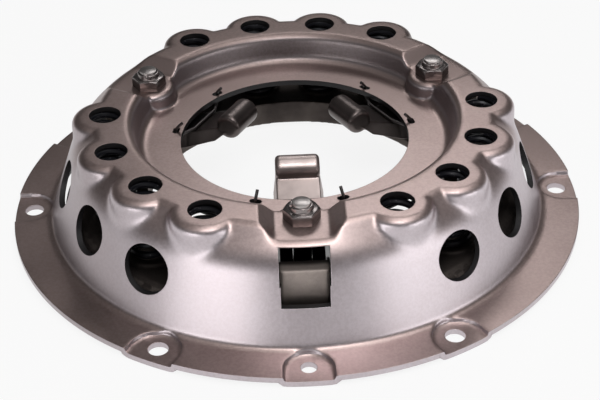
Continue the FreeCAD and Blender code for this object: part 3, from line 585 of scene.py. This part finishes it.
class ClutchSizes(bpy.types.PropertyGroup):
    """Sizes of the pressed cover, in metres."""

    sheet: length("Sheet", "Thickness of the cover's steel", 3.5 * MM)
    flange_radius: length("Flange radius", "Outer edge of the flange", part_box("cover")[1].x)
    flange_top: length("Flange top", "Height of the flange's upper face", 6.3 * MM)
    foot_radius: length("Foot radius", "Foot of the dome", 157.5 * MM)
    shoulder_radius: length("Shoulder radius", "Where the wall turns in", 140.5 * MM)
    shoulder_height: length("Shoulder height", "Height of that turn", 54.0 * MM)
    plateau_height: length("Dome top", "Height of the dome's top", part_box("cover")[1].z)
    valley_radius: length("Valley radius", "Dome top between the cups", 124.0 * MM)
    rim_radius: length("Rim radius", "Inner edge of the dome top", 101.8 * MM)
    ring_height: length("Ring height", "Top of the inner ring", 51.5 * MM)
    step_radius: length("Step radius", "Foot of the step to the ring", 98.3 * MM)
    opening_radius: length("Opening radius", "Central opening", 72.2 * MM)
    spring_circle: length("Spring circle", "Radius of the spring circle", 118.9 * MM)
    spring_gap: angle("Spring gap", "Angle between two springs", 21.6)
    cup_radius: length("Cup radius", "Outside of a spring cup", 21.3 * MM)
    cup_inner_radius: length("Cup limit", "Cups add nothing inside it", 110.0 * MM)
    step_bend: length("Step bend", "Bend at the foot of the step", 6.0 * MM)
    rim_bend: length("Rim bend", "Bend of the dome top's inner edge", 5.5 * MM)
    valley_bend: length("Valley bend", "Bend between the cups", 6.0 * MM)
    shoulder_bend: length("Shoulder bend", "Bend of the wall", 30.0 * MM)
    foot_bend: length("Foot bend", "Bend between wall and flange", 4.0 * MM)
    cup_roll: length("Cup roll", "Rolled top edge of a cup", 6.0 * MM)
    spring_hole: length("Spring hole", "Radius of the hole over a spring", 10.0 * MM)
    nut_circle: length("Nut circle", "Radius of the eyebolts' circle", 107.65 * MM)
    nut_pad_height: length("Nut seat", "Height of a nut's seat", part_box("adjusting_nut_1")[0].z)
    eyebolt_hole: length("Eyebolt hole", "Radius of the hole under a nut", 6.0 * MM)
    nut_pad_width: length("Nut recess", "Flat of the recess round a nut", 32.0 * MM)
    recess_slope: length("Recess slope", "Run of the recess's sides", 8.5 * MM)
    boss_radius: length("Boss radius", "Rounded inner end of the recess", 16.8 * MM)
    bolt_circle: length("Bolt circle", "Radius of the bolt circle", 170.0 * MM)
    bolt_hole: length("Bolt hole", "Radius of a mounting hole", 6.0 * MM)
    dowel_circle: length("Small hole circle", "Radius of their circle", 169.5 * MM)
    dowel_hole: length("Small hole", "Radius of a small hole", 4.75 * MM)
    bolt_pad_width: length("Bolt pad", "Width of a bolt pad's flat", 31.0 * MM)
    small_pad_width: length("Small pad", "Width of a small pad's flat", 29.0 * MM)
    pad_inner_radius: length("Pad start", "Where a pad starts", 158.0 * MM)
    wall_hole_width: length("Wall hole width", "Width of a wall hole", 32.4 * MM)
    wall_hole_height: length("Wall hole height", "Height of a wall hole", 28.0 * MM)
    wall_hole_middle: length("Wall hole middle", "Height of its middle", 36.5 * MM)
    window_width: length("Window width", "Width of a lever window", 29.2 * MM)
    window_low_width: length("Window foot", "Width of its lower part", 28.0 * MM)
    window_bottom: length("Window sill", "Sill of a lever window", 29.5 * MM)
    window_step: length("Window step", "Where the window narrows", 41.0 * MM)
    window_top: length("Window top", "Top of a lever window", 60.5 * MM)
    slot_circle: length("Slot circle", "Radius of the wire slots", 76.5 * MM)
    slot_angle: angle("Slot angle", "Slots to either side of a lever", 20)
    slot_length: length("Slot length", "Length of a wire slot", 7.5 * MM)
    slot_width: length("Slot width", "Width of a wire slot", 4.2 * MM)
    skin_voxel: length("Skin grain", "Mesh size of the pressed skin", 1.25 * MM)
    skin_rounds: IntProperty(name="Skin smoothing", description="Rounds of smoothing", default=4)
    lobe_rounds: IntProperty(name="Lobe smoothing", description="Rounds round the cups",
                             default=70)


class SpringSizes(bpy.types.PropertyGroup):
    """Sizes of the coil springs and wires, in metres."""

    radius: length("Coil radius", "Mean radius of a coil", 11.2 * MM)
    wire: length("Wire radius", "Radius of the spring wire", 2.2 * MM)
    turns: IntProperty(name="Turns", description="Open turns of a spring", default=4)
    rattle_wire: length("Rattle wire", "Radius of the bent wire", 1.0 * MM)


class ClutchFinish(bpy.types.PropertyGroup):
    """Colours of the finishes."""

    steel_light: tint("Steel", "Bare pressed steel", 0.62, 0.56, 0.59)
    steel_dark: tint("Steel, stained", "Darker clouds in it", 0.50, 0.44, 0.46)
    # Painted shade: darker, browner colours for faces that lie flat.
    flat_shade_light: tint("Flat steel", "Browner steel lying flat", 0.56, 0.44, 0.42)
    flat_shade_dark: tint("Flat steel, stained", "Darker clouds in it", 0.42, 0.32, 0.30)
    # Painted shade: the dark colour mixed over the cover's back and left side.
    steel_painted_shade: tint("Stain", "Stained steel at the back", 0.13, 0.10, 0.09)
    # Painted shade: near black for the inside of the cover and the cut edges of its holes.
    inside_shade_light: tint("Inside", "Inside of the cover", 0.02, 0.018, 0.019)
    inside_shade_dark: tint("Inside, dark", "Darker clouds inside", 0.007, 0.006, 0.007)
    iron_light: tint("Iron", "Cast iron", 0.13, 0.11, 0.10)
    iron_dark: tint("Iron, dark", "Darker clouds in the iron", 0.06, 0.05, 0.047)
    iron_turned: tint("Turned face", "Machined iron", 0.42, 0.40, 0.39)
    iron_lug: tint("Lugs", "Rubbed iron of the lugs", 0.62, 0.54, 0.50)
    spring_black: tint("Spring", "Black spring paint", 0.012, 0.012, 0.016)
    spring_worn: tint("Spring, worn", "Bare spots on a spring", 0.12, 0.11, 0.12)


def size():
    return bpy.context.scene.clutch_sizes


def spring_size():
    return bpy.context.scene.spring_sizes


def finish():
    return bpy.context.scene.clutch_finish


# Pressed cover

def dome_body():
    """Turned body under the cover's outer skin."""
    cover = size()
    bottom = -BLANK_SPARE
    rim = cover.flange_radius + BLANK_SPARE
    skin = rounded([
        (0, cover.ring_height),
        (cover.step_radius, cover.ring_height),
        (cover.rim_radius, cover.plateau_height),
        (cover.valley_radius, cover.plateau_height),
        (cover.shoulder_radius, cover.shoulder_height),
        (cover.foot_radius, cover.flange_top),
        (rim, cover.flange_top)],
        (cover.step_bend, cover.rim_bend, cover.valley_bend, cover.shoulder_bend,
         cover.foot_bend))
    return turned("dome_body", skin + [Vector((rim, bottom)), Vector((0, bottom))], steps=240)


def recess_tools():
    """Prisms with sloping sides that sink the seats of the nuts."""
    cover = size()
    half = cover.nut_pad_width / 2
    rise = cover.plateau_height - cover.nut_pad_height
    wide = half + 2 * cover.recess_slope
    high = cover.nut_pad_height + 2 * rise
    spare = 20 * MM
    inner = cover.rim_radius - spare
    outer = cover.shoulder_radius + spare
    tool = extruded("recess", [(-wide, high), (-half, cover.nut_pad_height),
                               (half, cover.nut_pad_height), (wide, high)],
                    inner, outer - inner)
    tools = [copy_at(tool, "recess_at_lever", azimuth - math.pi / 2)
             for azimuth in lever_azimuths()]
    bpy.data.objects.remove(tool, do_unlink=True)
    return tools


def pad_tools():
    """Rounded blocks that sink the bolt pads."""
    cover = size()
    pads = [(azimuth, cover.bolt_pad_width) for azimuth in bolt_azimuths()]
    pads += [(azimuth, cover.small_pad_width) for azimuth in lever_azimuths()]
    tools = []
    for azimuth, width in pads:
        half = width / 2
        low, high = cover.sheet, cover.flange_top + 6 * MM
        middle = (low + high) / 2
        near = cover.pad_inner_radius + half
        end = rod("pad_end", half, high - low, (near, 0, middle), 64)
        body = block("pad_run", (near, -half, low), (cover.flange_radius + 15 * MM, half, high))
        carve(end, body, "UNION")
        end.data.transform(turned_to(azimuth))
        tools.append(end)
    return tools


def round_bodies(name, azimuths, circle, radius, top):
    """Upright round bodies on a circle, from inside the dome to a height."""
    low = size().flange_top + 10 * MM
    depth = top - low
    return joined(name, [rod(name, radius, depth, at_angle(azimuth, circle, low + depth / 2), 96)
                         for azimuth in azimuths])


def cup_bodies():
    """Round cups with rolled tops, cut off inside the plateau's rim."""
    cover = size()
    cups = round_bodies("cups", spring_azimuths(), cover.spring_circle, cover.cup_radius,
                        cover.plateau_height)
    round_edges(cups, cover.cup_roll, 6)
    carve(cups, tall_rod("cup_limit", cover.cup_inner_radius, 180))
    return cups


def boss_bodies():
    """Rounded inner ends of the nut recesses."""
    cover = size()
    bosses = round_bodies("bosses", lever_azimuths(), cover.nut_circle, cover.boss_radius,
                          cover.nut_pad_height)
    round_edges(bosses, 4 * MM, 5)
    return bosses


def blend_lobes(skin):
    """Soften the skin where the cups run out into the wall."""
    cover = size()
    group = skin.vertex_groups.new(name="lobes")
    low, full = cover.flange_top + 22 * MM, cover.flange_top + 36 * MM
    fade, top = cover.shoulder_height + 1 * MM, cover.plateau_height - 3 * MM
    inner, outer = cover.valley_radius - 2 * MM, cover.valley_radius + 4 * MM
    for vertex in skin.data.vertices:
        x, y, z = vertex.co
        rise = min(ramp(z, low, full - low), ramp(-z, -top, top - fade))
        weight = rise * ramp(math.hypot(x, y), inner, outer - inner)
        if weight > 0:
            group.add([vertex.index], weight, "REPLACE")
    apply_modifier(skin, "SMOOTH", factor=0.5, iterations=cover.lobe_rounds,
                   vertex_group="lobes")
    skin.vertex_groups.clear()


def hole_tools():
    """Everything that is punched through the skin."""
    cover = size()
    in_flange = 2 * MM
    tools = [tall_rod("opening", cover.opening_radius, 256)]
    for azimuth in spring_azimuths():
        tools.append(rod("spring_hole", cover.spring_hole, PUNCH_DEPTH * 1.5,
                         at_angle(azimuth, cover.spring_circle, cover.plateau_height), 64))
    for azimuth in bolt_azimuths():
        tools.append(rod("bolt_hole", cover.bolt_hole, PUNCH_DEPTH,
                         at_angle(azimuth, cover.bolt_circle, in_flange)))
    for azimuth in lever_azimuths():
        tools.append(rod("small_hole", cover.dowel_hole, PUNCH_DEPTH,
                         at_angle(azimuth, cover.dowel_circle, in_flange)))
        tools.append(rod("eyebolt_hole", cover.eyebolt_hole, PUNCH_DEPTH,
                         at_angle(azimuth, cover.nut_circle, cover.nut_pad_height)))
    tools += [wall_hole_tool(azimuth) for azimuth in wall_hole_azimuths()]
    for azimuth in lever_azimuths():
        tools.append(window_tool(azimuth))
        for side in (-1, 1):
            tools.append(slot_tool(azimuth + side * cover.slot_angle))
    return tools


def wall_hole_tool(azimuth):
    """An oval rod that lies along the radius, through the wall."""
    cover = size()
    depth, beyond_spring = 50 * MM, 35 * MM
    hole = rod("wall_hole", 0.5, depth, (0, 0, 0), 72)
    hole.data.transform(Matrix.Diagonal((cover.wall_hole_height, cover.wall_hole_width, 1, 1)))
    hole.data.transform(Matrix.Rotation(math.pi / 2, 4, "Y"))
    place = at_angle(azimuth, cover.spring_circle + beyond_spring, cover.wall_hole_middle)
    hole.data.transform(Matrix.Translation(place) @ turned_to(azimuth))
    return hole


def window_tool(azimuth):
    """A stepped prism along the radius, through the wall over a lug."""
    cover = size()
    near = cover.nut_circle + cover.boss_radius
    far = cover.foot_radius + 10 * MM
    wide, narrow = cover.window_width / 2, cover.window_low_width / 2
    window = extruded("window", [
        (-narrow, cover.window_bottom), (narrow, cover.window_bottom),
        (narrow, cover.window_step), (wide, cover.window_step),
        (wide, cover.window_top), (-wide, cover.window_top),
        (-wide, cover.window_step), (-narrow, cover.window_step)], near, far - near)
    window.data.transform(turned_to(azimuth))
    return window


def slot_tool(azimuth):
    """A slot with round ends that lies across the radius."""
    cover = size()
    half = cover.slot_width / 2
    straight = cover.slot_length / 2 - half
    slot = rod("slot", half, PUNCH_DEPTH, (0, 0, 0), 32)
    edit(slot)
    bpy.ops.mesh.bisect(plane_co=(0, 0, 0), plane_no=(0, 1, 0))
    leave_edit()
    on_middle = 0.001 * MM
    for vertex in slot.data.vertices:
        if abs(vertex.co.y) > on_middle:
            vertex.co.y += math.copysign(straight, vertex.co.y)
    slot.data.transform(turned_to(azimuth) @ Matrix.Translation(
        (cover.slot_circle, 0, cover.ring_height)))
    return slot


class CLUTCH_OT_cover(bpy.types.Operator):
    """Pressed steel cover with its scalloped dome, recesses and punched holes"""

    bl_idname = "clutch.cover"
    bl_label = "Pressed cover"

    def execute(self, context):
        cover = size()
        skin = dome_body()
        carve(skin, joined("sunk", recess_tools() + pad_tools()))
        skin = joined("pressed_cover", [skin, cup_bodies(), boss_bodies()])
        cast_over(skin, cover.skin_voxel, cover.skin_rounds)
        blend_lobes(skin)
        edit(skin)
        foot = (0, 0, 1 * MM)
        bpy.ops.mesh.bisect(plane_co=foot, plane_no=(0, 0, -1), clear_outer=True)
        leave_edit()
        apply_modifier(skin, "DECIMATE", ratio=0.45)
        punches = joined("punches", hole_tools())
        # The second material is painted shade: the inside and rims of the solidified skin, and the
        # walls of every hole except those low in the flange.
        skin.data.materials.clear()
        for material in (pressed_steel(), inner_black()):
            skin.data.materials.append(material)
            punches.data.materials.append(material)
        for face in punches.data.polygons:
            x, y, z = face.center
            in_flange = math.hypot(x, y) > cover.foot_radius
            low = z < cover.window_bottom - cover.sheet
            face.material_index = 0 if low and in_flange else 1
        apply_modifier(skin, "SOLIDIFY", thickness=cover.sheet, offset=-1, use_even_offset=True,
                       use_rim=True, material_offset=1, material_offset_rim=1)
        carve(skin, tall_rod("blank", cover.flange_radius, 360), "INTERSECT", "MANIFOLD")
        carve(skin, punches, "DIFFERENCE", "MANIFOLD")
        smooth_faces(skin, 40)
        finish_piece(skin, None, "cover", "cover", "cover")
        return {"FINISHED"}


# Pressure plate

class CLUTCH_OT_plate(bpy.types.Operator):
    """Cast pressure plate with softened edges"""

    bl_idname = "clutch.plate"
    bl_label = "Pressure plate"

    def execute(self, context):
        plate = from_node("plate_casting", "pressure_plate")
        cast_over(plate, voxel=1.2 * MM, rounds=3)
        smooth_faces(plate)
        finish_piece(plate, cast_iron(), "pressure_plate", "plate", "pressure_plate")
        return {"FINISHED"}


# Lever group

def pressed_lever():
    """Lever with a full rolled tip, its outer end a little wider and its slot narrower."""
    tip = (0, -41.5 * MM, 54.2 * MM)
    radius, width = 8.3 * MM, 27.2 * MM
    crown = rod("lever_crown", radius, width, tip, 64, Vector(X_AXIS))
    round_edges(crown, 2.8 * MM, 4)
    lever = joined("lever_pressing_1", [from_node("lever_pressing_1", "lever_1"), crown])
    cast_over(lever, voxel=0.6 * MM, rounds=4)
    widen, squeeze = 0.1, 0.085
    for vertex in lever.data.vertices:
        outward = ramp(-vertex.co.y, start=45 * MM, run=25 * MM)
        sideways = ramp(abs(vertex.co.x), start=6.5 * MM, run=4 * MM)
        vertex.co.x *= 1 + ((widen + squeeze) * sideways - squeeze) * outward
    smooth_faces(lever, 60)
    return lever


class CLUTCH_OT_levers(bpy.types.Operator):
    """Pressed levers, their pins and the struts"""

    bl_idname = "clutch.levers"
    bl_label = "Levers"

    def execute(self, context):
        steel = bright_steel("lever_steel", (0.50, 0.42, 0.40), 0.3, painted_shade_mask=lever_shade_mask)
        ground = bright_steel("pin_steel", (0.42, 0.40, 0.40), 0.28)
        dark = bright_steel("strut_steel", (0.26, 0.24, 0.24), 0.4)
        lever = pressed_lever()
        pin = with_broken_edges("pivot_pin_1", "lever_pin_1", 0.25 * MM)
        strut = with_broken_edges("strut_bar_1", "strut_1", 0.25 * MM)
        finish_at_levers([(lever, "lever_pressing", steel, "lever", "lever_{}"),
                          (pin, "pivot_pin", ground, "lever_pin", "lever_{}"),
                          (strut, "strut_bar", dark, "strut", "strut_{}")])
        return {"FINISHED"}


def hexagon_nut():
    """Adjusting nut with chamfered corners and a staked collar."""
    low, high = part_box("adjusting_nut_1")
    middle = (low + high) / 2
    flats, hexagon = 19 * MM, 7 * MM
    collar_radius, bore_radius = 7 * MM, 5.5 * MM
    shoulder = low.z + hexagon
    bpy.ops.mesh.primitive_cylinder_add(radius=flats / math.sqrt(3), depth=hexagon, vertices=6,
                                        location=(middle.x, middle.y, low.z + hexagon / 2),
                                        rotation=(0, 0, math.radians(30)))
    nut = named("staked_nut_1")
    settle(nut)
    foot, tip = 1.9 * flats / 2, 0.98 * flats / 2
    chamfer = (foot - tip) * math.tan(math.radians(30))
    bpy.ops.mesh.primitive_cone_add(radius1=foot, radius2=tip, depth=chamfer, vertices=96,
                                    location=(middle.x, middle.y, shoulder - chamfer / 2))
    cone = named("chamfer_cone")
    settle(cone)
    overlap = 0.01 * MM
    core = (middle.x, middle.y, shoulder - chamfer - hexagon / 2 + overlap)
    carve(cone, rod("nut_core", flats, hexagon, core, 96), "UNION")
    carve(nut, cone, "INTERSECT")
    depth = high.z - shoulder + 1 * MM
    collar = rod("collar", collar_radius, depth, (middle.x, middle.y, high.z - depth / 2), 72)
    round_edges(collar, 0.6 * MM, 3)
    carve(nut, collar, "UNION")
    top = Vector((middle.x, middle.y, high.z))
    first_dent, dent_circle = 0.35, 7.4 * MM
    dents = []
    for turn in (first_dent, first_dent + math.pi):
        place = top + Vector((math.cos(turn), math.sin(turn), 0)) * dent_circle
        dents.append(rod("dent", 1.7 * MM, 3.2 * MM, place, 24))
    carve(nut, joined("dents", dents))
    carve(nut, rod("bore", bore_radius, 60 * MM, middle, 64))
    round_edges(nut, 0.22 * MM, 2, sharper_than=40)
    smooth_faces(nut)
    return nut


class CLUTCH_OT_nuts(bpy.types.Operator):
    """Adjusting nuts and eyebolts"""

    bl_idname = "clutch.nuts"
    bl_label = "Nuts and eyebolts"

    def execute(self, context):
        plated = bright_steel("nut_steel", (0.27, 0.24, 0.235), 0.2)
        forged = bright_steel("eyebolt_steel", (0.42, 0.39, 0.38), 0.26, painted_shade_mask=shank_shade_mask)
        nut = hexagon_nut()
        bolt = with_broken_edges("eyebolt_forging_1", "eyebolt_1", 0.5 * MM)
        finish_at_levers([(nut, "staked_nut", plated, "adjusting_nut", "cover"),
                          (bolt, "eyebolt_forging", forged, "eyebolt", "cover")])
        return {"FINISHED"}


# Wires and springs

def round_wire(name, points, radius):
    """A wire along a smooth line, as a closed mesh."""
    bpy.ops.curve.primitive_nurbs_path_add(location=(0, 0, 0))
    piece = named(name)
    curve = piece.data
    curve.splines.clear()
    spline = curve.splines.new("NURBS")
    spline.points.add(len(points) - 1)
    for point, place in zip(spline.points, points):
        point.co = (*place, 1)
    spline.order_u = 3
    spline.resolution_u = 4
    spline.use_endpoint_u = True
    curve.bevel_depth = radius
    curve.bevel_resolution = 3
    curve.use_fill_caps = True
    activate(piece)
    bpy.ops.object.convert(target="MESH")
    piece = named(name)
    recalculate(piece)
    return piece


class CLUTCH_OT_wires(bpy.types.Operator):
    """Bent wires that keep the levers from rattling"""

    bl_idname = "clutch.wires"
    bl_label = "Anti-rattle wires"

    def execute(self, context):
        steel = bright_steel("wire_steel", (0.10, 0.09, 0.09), 0.35)
        cover = size()
        wire = spring_size().rattle_wire
        slot = at_angle(cover.slot_angle, cover.slot_circle)
        hook = at_angle(cover.slot_angle, cover.slot_circle - 4.2 * MM)
        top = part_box("anti_rattle_spring_1")[1].z - wire
        under = cover.ring_height - cover.sheet - wire
        cross = -66.5 * MM
        half = [
            Vector((0, cross, under)),
            Vector((11 * MM, cross, under)),
            Vector((13 * MM, cross, under)),
            Vector((15 * MM, cross - 0.9 * MM, under)),
            Vector((slot.x - 1.5 * MM, slot.y + 0.6 * MM, under)),
            Vector((slot.x, slot.y, under + 0.2 * MM)),
            Vector((slot.x, slot.y, under + 2 * MM)),
            Vector((slot.x, slot.y, cover.ring_height)),
            Vector((slot.x, slot.y, cover.ring_height + 1.4 * MM)),
            Vector((hook.x, hook.y, top)),
        ]
        mirror = [Vector((-spot.x, spot.y, spot.z)) for spot in reversed(half[1:])]
        piece = round_wire("rattle_wire_1", mirror + half, wire)
        smooth_faces(piece)
        finish_at_levers([(piece, "rattle_wire", steel, "anti_rattle_spring", "cover")])
        return {"FINISHED"}


def coil(name):
    """One coil spring on the axis, its ends closed and ground flat."""
    sizes = spring_size()
    low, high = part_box("pressure_spring_01")
    height = high.z - low.z
    first = 0.3 * sizes.wire
    closed = first + 2.05 * sizes.wire
    per_turn = 24
    turns = sizes.turns + 2
    points = []
    for step in range(turns * per_turn + 1):
        turn = step / per_turn
        from_end = min(turn, turns - turn)
        if from_end < 1:
            rise = first + (closed - first) * from_end
            z = rise if turn < 1 else height - rise
        else:
            z = closed + (height - 2 * closed) * (turn - 1) / sizes.turns
        round_by = 2 * math.pi * turn
        points.append(Vector((sizes.radius * math.cos(round_by),
                              sizes.radius * math.sin(round_by), z)))
    piece = round_wire(name, points, sizes.wire)
    room = rod("room", 2 * sizes.radius, height, (0, 0, height / 2))
    carve(piece, room, "INTERSECT", "MANIFOLD")
    smooth_faces(piece)
    return piece


class CLUTCH_OT_springs(bpy.types.Operator):
    """Twelve coil springs of round wire"""

    bl_idname = "clutch.springs"
    bl_label = "Pressure springs"

    def execute(self, context):
        paint = black_paint()
        cover = size()
        low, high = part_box("pressure_spring_01")
        travel = next(joint for joint in frame["joints"] if joint["name"] == "plate_lift")
        stroke = max(travel["range_m"])
        keep = 1 - stroke / (high.z - low.z)
        master = coil("coil_master")
        for index, azimuth in enumerate(spring_azimuths(), start=1):
            place = at_angle(azimuth, cover.spring_circle, low.z)
            piece = copy_at(master, "coil_spring_%02d" % index, azimuth)
            piece.data.transform(Matrix.Translation(place))
            finish_piece(piece, paint, "pressure_spring", "cover",
                         "pressure_spring_%02d" % index)
            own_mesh(piece)
        bpy.data.objects.remove(master, do_unlink=True)
        return {"FINISHED"}


# Floor, light and camera

# Name, place, width and height in metres, power in watts
LAMPS = (
    ("left_panel", (-0.72, -0.95, 0.12), 0.8, 0.3, 2.2),
    ("right_panel", (0.95, -0.75, 0.16), 0.9, 0.4, 2.4),
    ("back_panel", (0.15, 1.05, 1.0), 0.55, 0.25, 2.0),
    ("front_panel", (0.1, -0.6, 1.05), 0.5, 0.3, 3.4),
    ("top_panel", (0.3, 0.0, 1.4), 1.0, 0.8, 4.5),
)
LAMPS_AIM = Vector((0, 0, 0.03))

# Height on the studio's wall, 0 at the horizon and 1 overhead, and the brightness there
FRONT_WALL = ((0.0, 0.45), (0.1, 0.38), (0.3, 0.1), (0.55, 0.1), (0.75, 0.45), (1.0, 0.4))
BACK_WALL = ((0.0, 0.4), (0.15, 0.16), (0.3, 0.06), (0.5, 0.08), (0.8, 0.15), (1.0, 0.25))
WALL_TURN = 0.3
WALL_WARMTH = 0.985

FLOOR_SIZE = 12
FLOOR_HEIGHT = -0.1 * MM
FLOOR_GLOW = 0.88

CAMERA_PLACE = Vector((2.35, -825.9, 557.7)) * MM
CAMERA_TURN = math.radians(-1.64)
CAMERA_TILT = math.radians(33.9)
CAMERA_ROLL = math.radians(-1.51)
CAMERA_LENS = 91.56
CAMERA_FILM = 36
CAMERA_START = 10 * MM


def floor_material():
    """Pale floor that shows near white and keeps a soft shadow."""
    graph = Graph("studio_floor")
    path = graph.tree.nodes.new("ShaderNodeLightPath")
    seen = Wire(graph, path.outputs["Is Camera Ray"])
    for name in ("Is Glossy Ray", "Is Transmission Ray"):
        seen = seen.maths("MAXIMUM", Wire(graph, path.outputs[name]))
    diffuse = graph.node("ShaderNodeBsdfDiffuse", None, {"Color": (0.85, 0.85, 0.85, 1)})
    white = graph.node("ShaderNodeEmission", None, {"Color": (1, 1, 1, 1), "Strength": 1.0})
    mixed = graph.node("ShaderNodeMixShader", None, {0: seen * FLOOR_GLOW, 1: diffuse, 2: white})
    graph.tree.links.new(mixed.socket, graph.output.inputs["Surface"])
    return graph.material


def softbox(name, place, width, height, power):
    """A rectangular lamp that looks at the assembly."""
    bpy.ops.object.light_add(type="AREA", location=place)
    lamp = bpy.context.active_object
    lamp.name = name
    lamp.data.shape = "RECTANGLE"
    lamp.data.size = width
    lamp.data.size_y = height
    lamp.data.energy = power
    lamp.rotation_mode = "QUATERNION"
    lamp.rotation_quaternion = (LAMPS_AIM - Vector(place)).to_track_quat("-Z", "Y")


def studio_world():
    """Studio walls, pale near the floor and overhead, dark between, and darker behind."""
    world = bpy.data.worlds.new("studio")
    bpy.context.scene.world = world
    world.use_nodes = True
    tree = world.node_tree
    tree.nodes.clear()
    output = tree.nodes.new("ShaderNodeOutputWorld")
    light = tree.nodes.new("ShaderNodeBackground")
    tree.links.new(light.outputs[0], output.inputs["Surface"])
    place = tree.nodes.new("ShaderNodeTexCoord")
    split = tree.nodes.new("ShaderNodeSeparateXYZ")
    tree.links.new(place.outputs["Generated"], split.inputs[0])
    ramps = []
    for stops in (FRONT_WALL, BACK_WALL):
        ramp = tree.nodes.new("ShaderNodeValToRGB")
        tree.links.new(split.outputs["Z"], ramp.inputs[0])
        elements = ramp.color_ramp.elements
        elements.remove(elements[1])
        for height, level in stops:
            element = elements[0] if height == 0 else elements.new(height)
            element.color = (level, level * WALL_WARMTH, level * WALL_WARMTH, 1)
        ramps.append(ramp)
    side = tree.nodes.new("ShaderNodeMapRange")
    side.inputs["From Min"].default_value = -WALL_TURN
    side.inputs["From Max"].default_value = WALL_TURN
    tree.links.new(split.outputs["Y"], side.inputs["Value"])
    mix = tree.nodes.new("ShaderNodeMix")
    mix.data_type = "RGBA"
    tree.links.new(side.outputs[0], mix.inputs[0])
    tree.links.new(ramps[0].outputs[0], mix.inputs[6])
    tree.links.new(ramps[1].outputs[0], mix.inputs[7])
    tree.links.new(mix.outputs[2], light.inputs["Color"])


def photo_camera():
    """Camera that looks down at the front, slightly turned and rolled like the photograph's."""
    right = Vector(X_AXIS)
    ahead = Vector((0, math.cos(CAMERA_TILT), -math.sin(CAMERA_TILT)))
    up = Vector((0, math.sin(CAMERA_TILT), math.cos(CAMERA_TILT)))
    camera_x = right * math.cos(CAMERA_ROLL) + up * math.sin(CAMERA_ROLL)
    camera_y = up * math.cos(CAMERA_ROLL) - right * math.sin(CAMERA_ROLL)
    axes = Matrix((camera_x, camera_y, -ahead)).transposed().to_4x4()
    turn = Matrix.Rotation(CAMERA_TURN, 4, "Z")
    bpy.ops.object.camera_add()
    camera = bpy.context.active_object
    camera.name = "camera"
    camera.matrix_world = turn @ Matrix.Translation(CAMERA_PLACE) @ axes
    camera.data.sensor_width = CAMERA_FILM
    camera.data.lens = CAMERA_LENS
    camera.data.clip_start = CAMERA_START
    bpy.context.scene.camera = camera


class CLUTCH_OT_stage(bpy.types.Operator):
    """Pale floor, soft studio light and the camera"""

    bl_idname = "clutch.stage"
    bl_label = "Stage"

    def execute(self, context):
        bpy.ops.mesh.primitive_plane_add(size=FLOOR_SIZE, location=(0, 0, FLOOR_HEIGHT))
        floor = named("studio_floor")
        settle(floor)
        floor.data.materials.append(floor_material())
        studio_world()
        for lamp in LAMPS:
            softbox(*lamp)
        photo_camera()
        context.scene.view_settings.view_transform = "Standard"
        return {"FINISHED"}


class CLUTCH_PT_panel(bpy.types.Panel):
    """Lists the pieces of the clutch cover assembly"""

    bl_label = "Clutch cover"
    bl_space_type = "VIEW_3D"
    bl_region_type = "UI"
    bl_category = "Clutch"

    def draw(self, context):
        for operator in OPERATORS:
            self.layout.operator(operator.bl_idname)
        for group in (size(), spring_size(), finish()):
            box = self.layout.box()
            for key in group.bl_rna.properties.keys():
                if key not in ("rna_type", "name"):
                    box.prop(group, key)


OPERATORS = (
    CLUTCH_OT_cover,
    CLUTCH_OT_plate,
    CLUTCH_OT_levers,
    CLUTCH_OT_nuts,
    CLUTCH_OT_wires,
    CLUTCH_OT_springs,
    CLUTCH_OT_stage,
)
GROUPS = (ClutchSizes, SpringSizes, ClutchFinish)


def register():
    for kind in GROUPS + OPERATORS + (CLUTCH_PT_panel,):
        bpy.utils.register_class(kind)
    bpy.types.Scene.clutch_sizes = PointerProperty(type=ClutchSizes)
    bpy.types.Scene.spring_sizes = PointerProperty(type=SpringSizes)
    bpy.types.Scene.clutch_finish = PointerProperty(type=ClutchFinish)


def unregister():
    del bpy.types.Scene.clutch_finish
    del bpy.types.Scene.spring_sizes
    del bpy.types.Scene.clutch_sizes
    for kind in reversed(GROUPS + OPERATORS + (CLUTCH_PT_panel,)):
        bpy.utils.unregister_class(kind)


def main():
    register()
    bpy.ops.clutch.cover()
    bpy.ops.clutch.plate()
    bpy.ops.clutch.levers()
    bpy.ops.clutch.nuts()
    bpy.ops.clutch.wires()
    bpy.ops.clutch.springs()
    bpy.ops.clutch.stage()


if __name__ == "__main__":
    main()
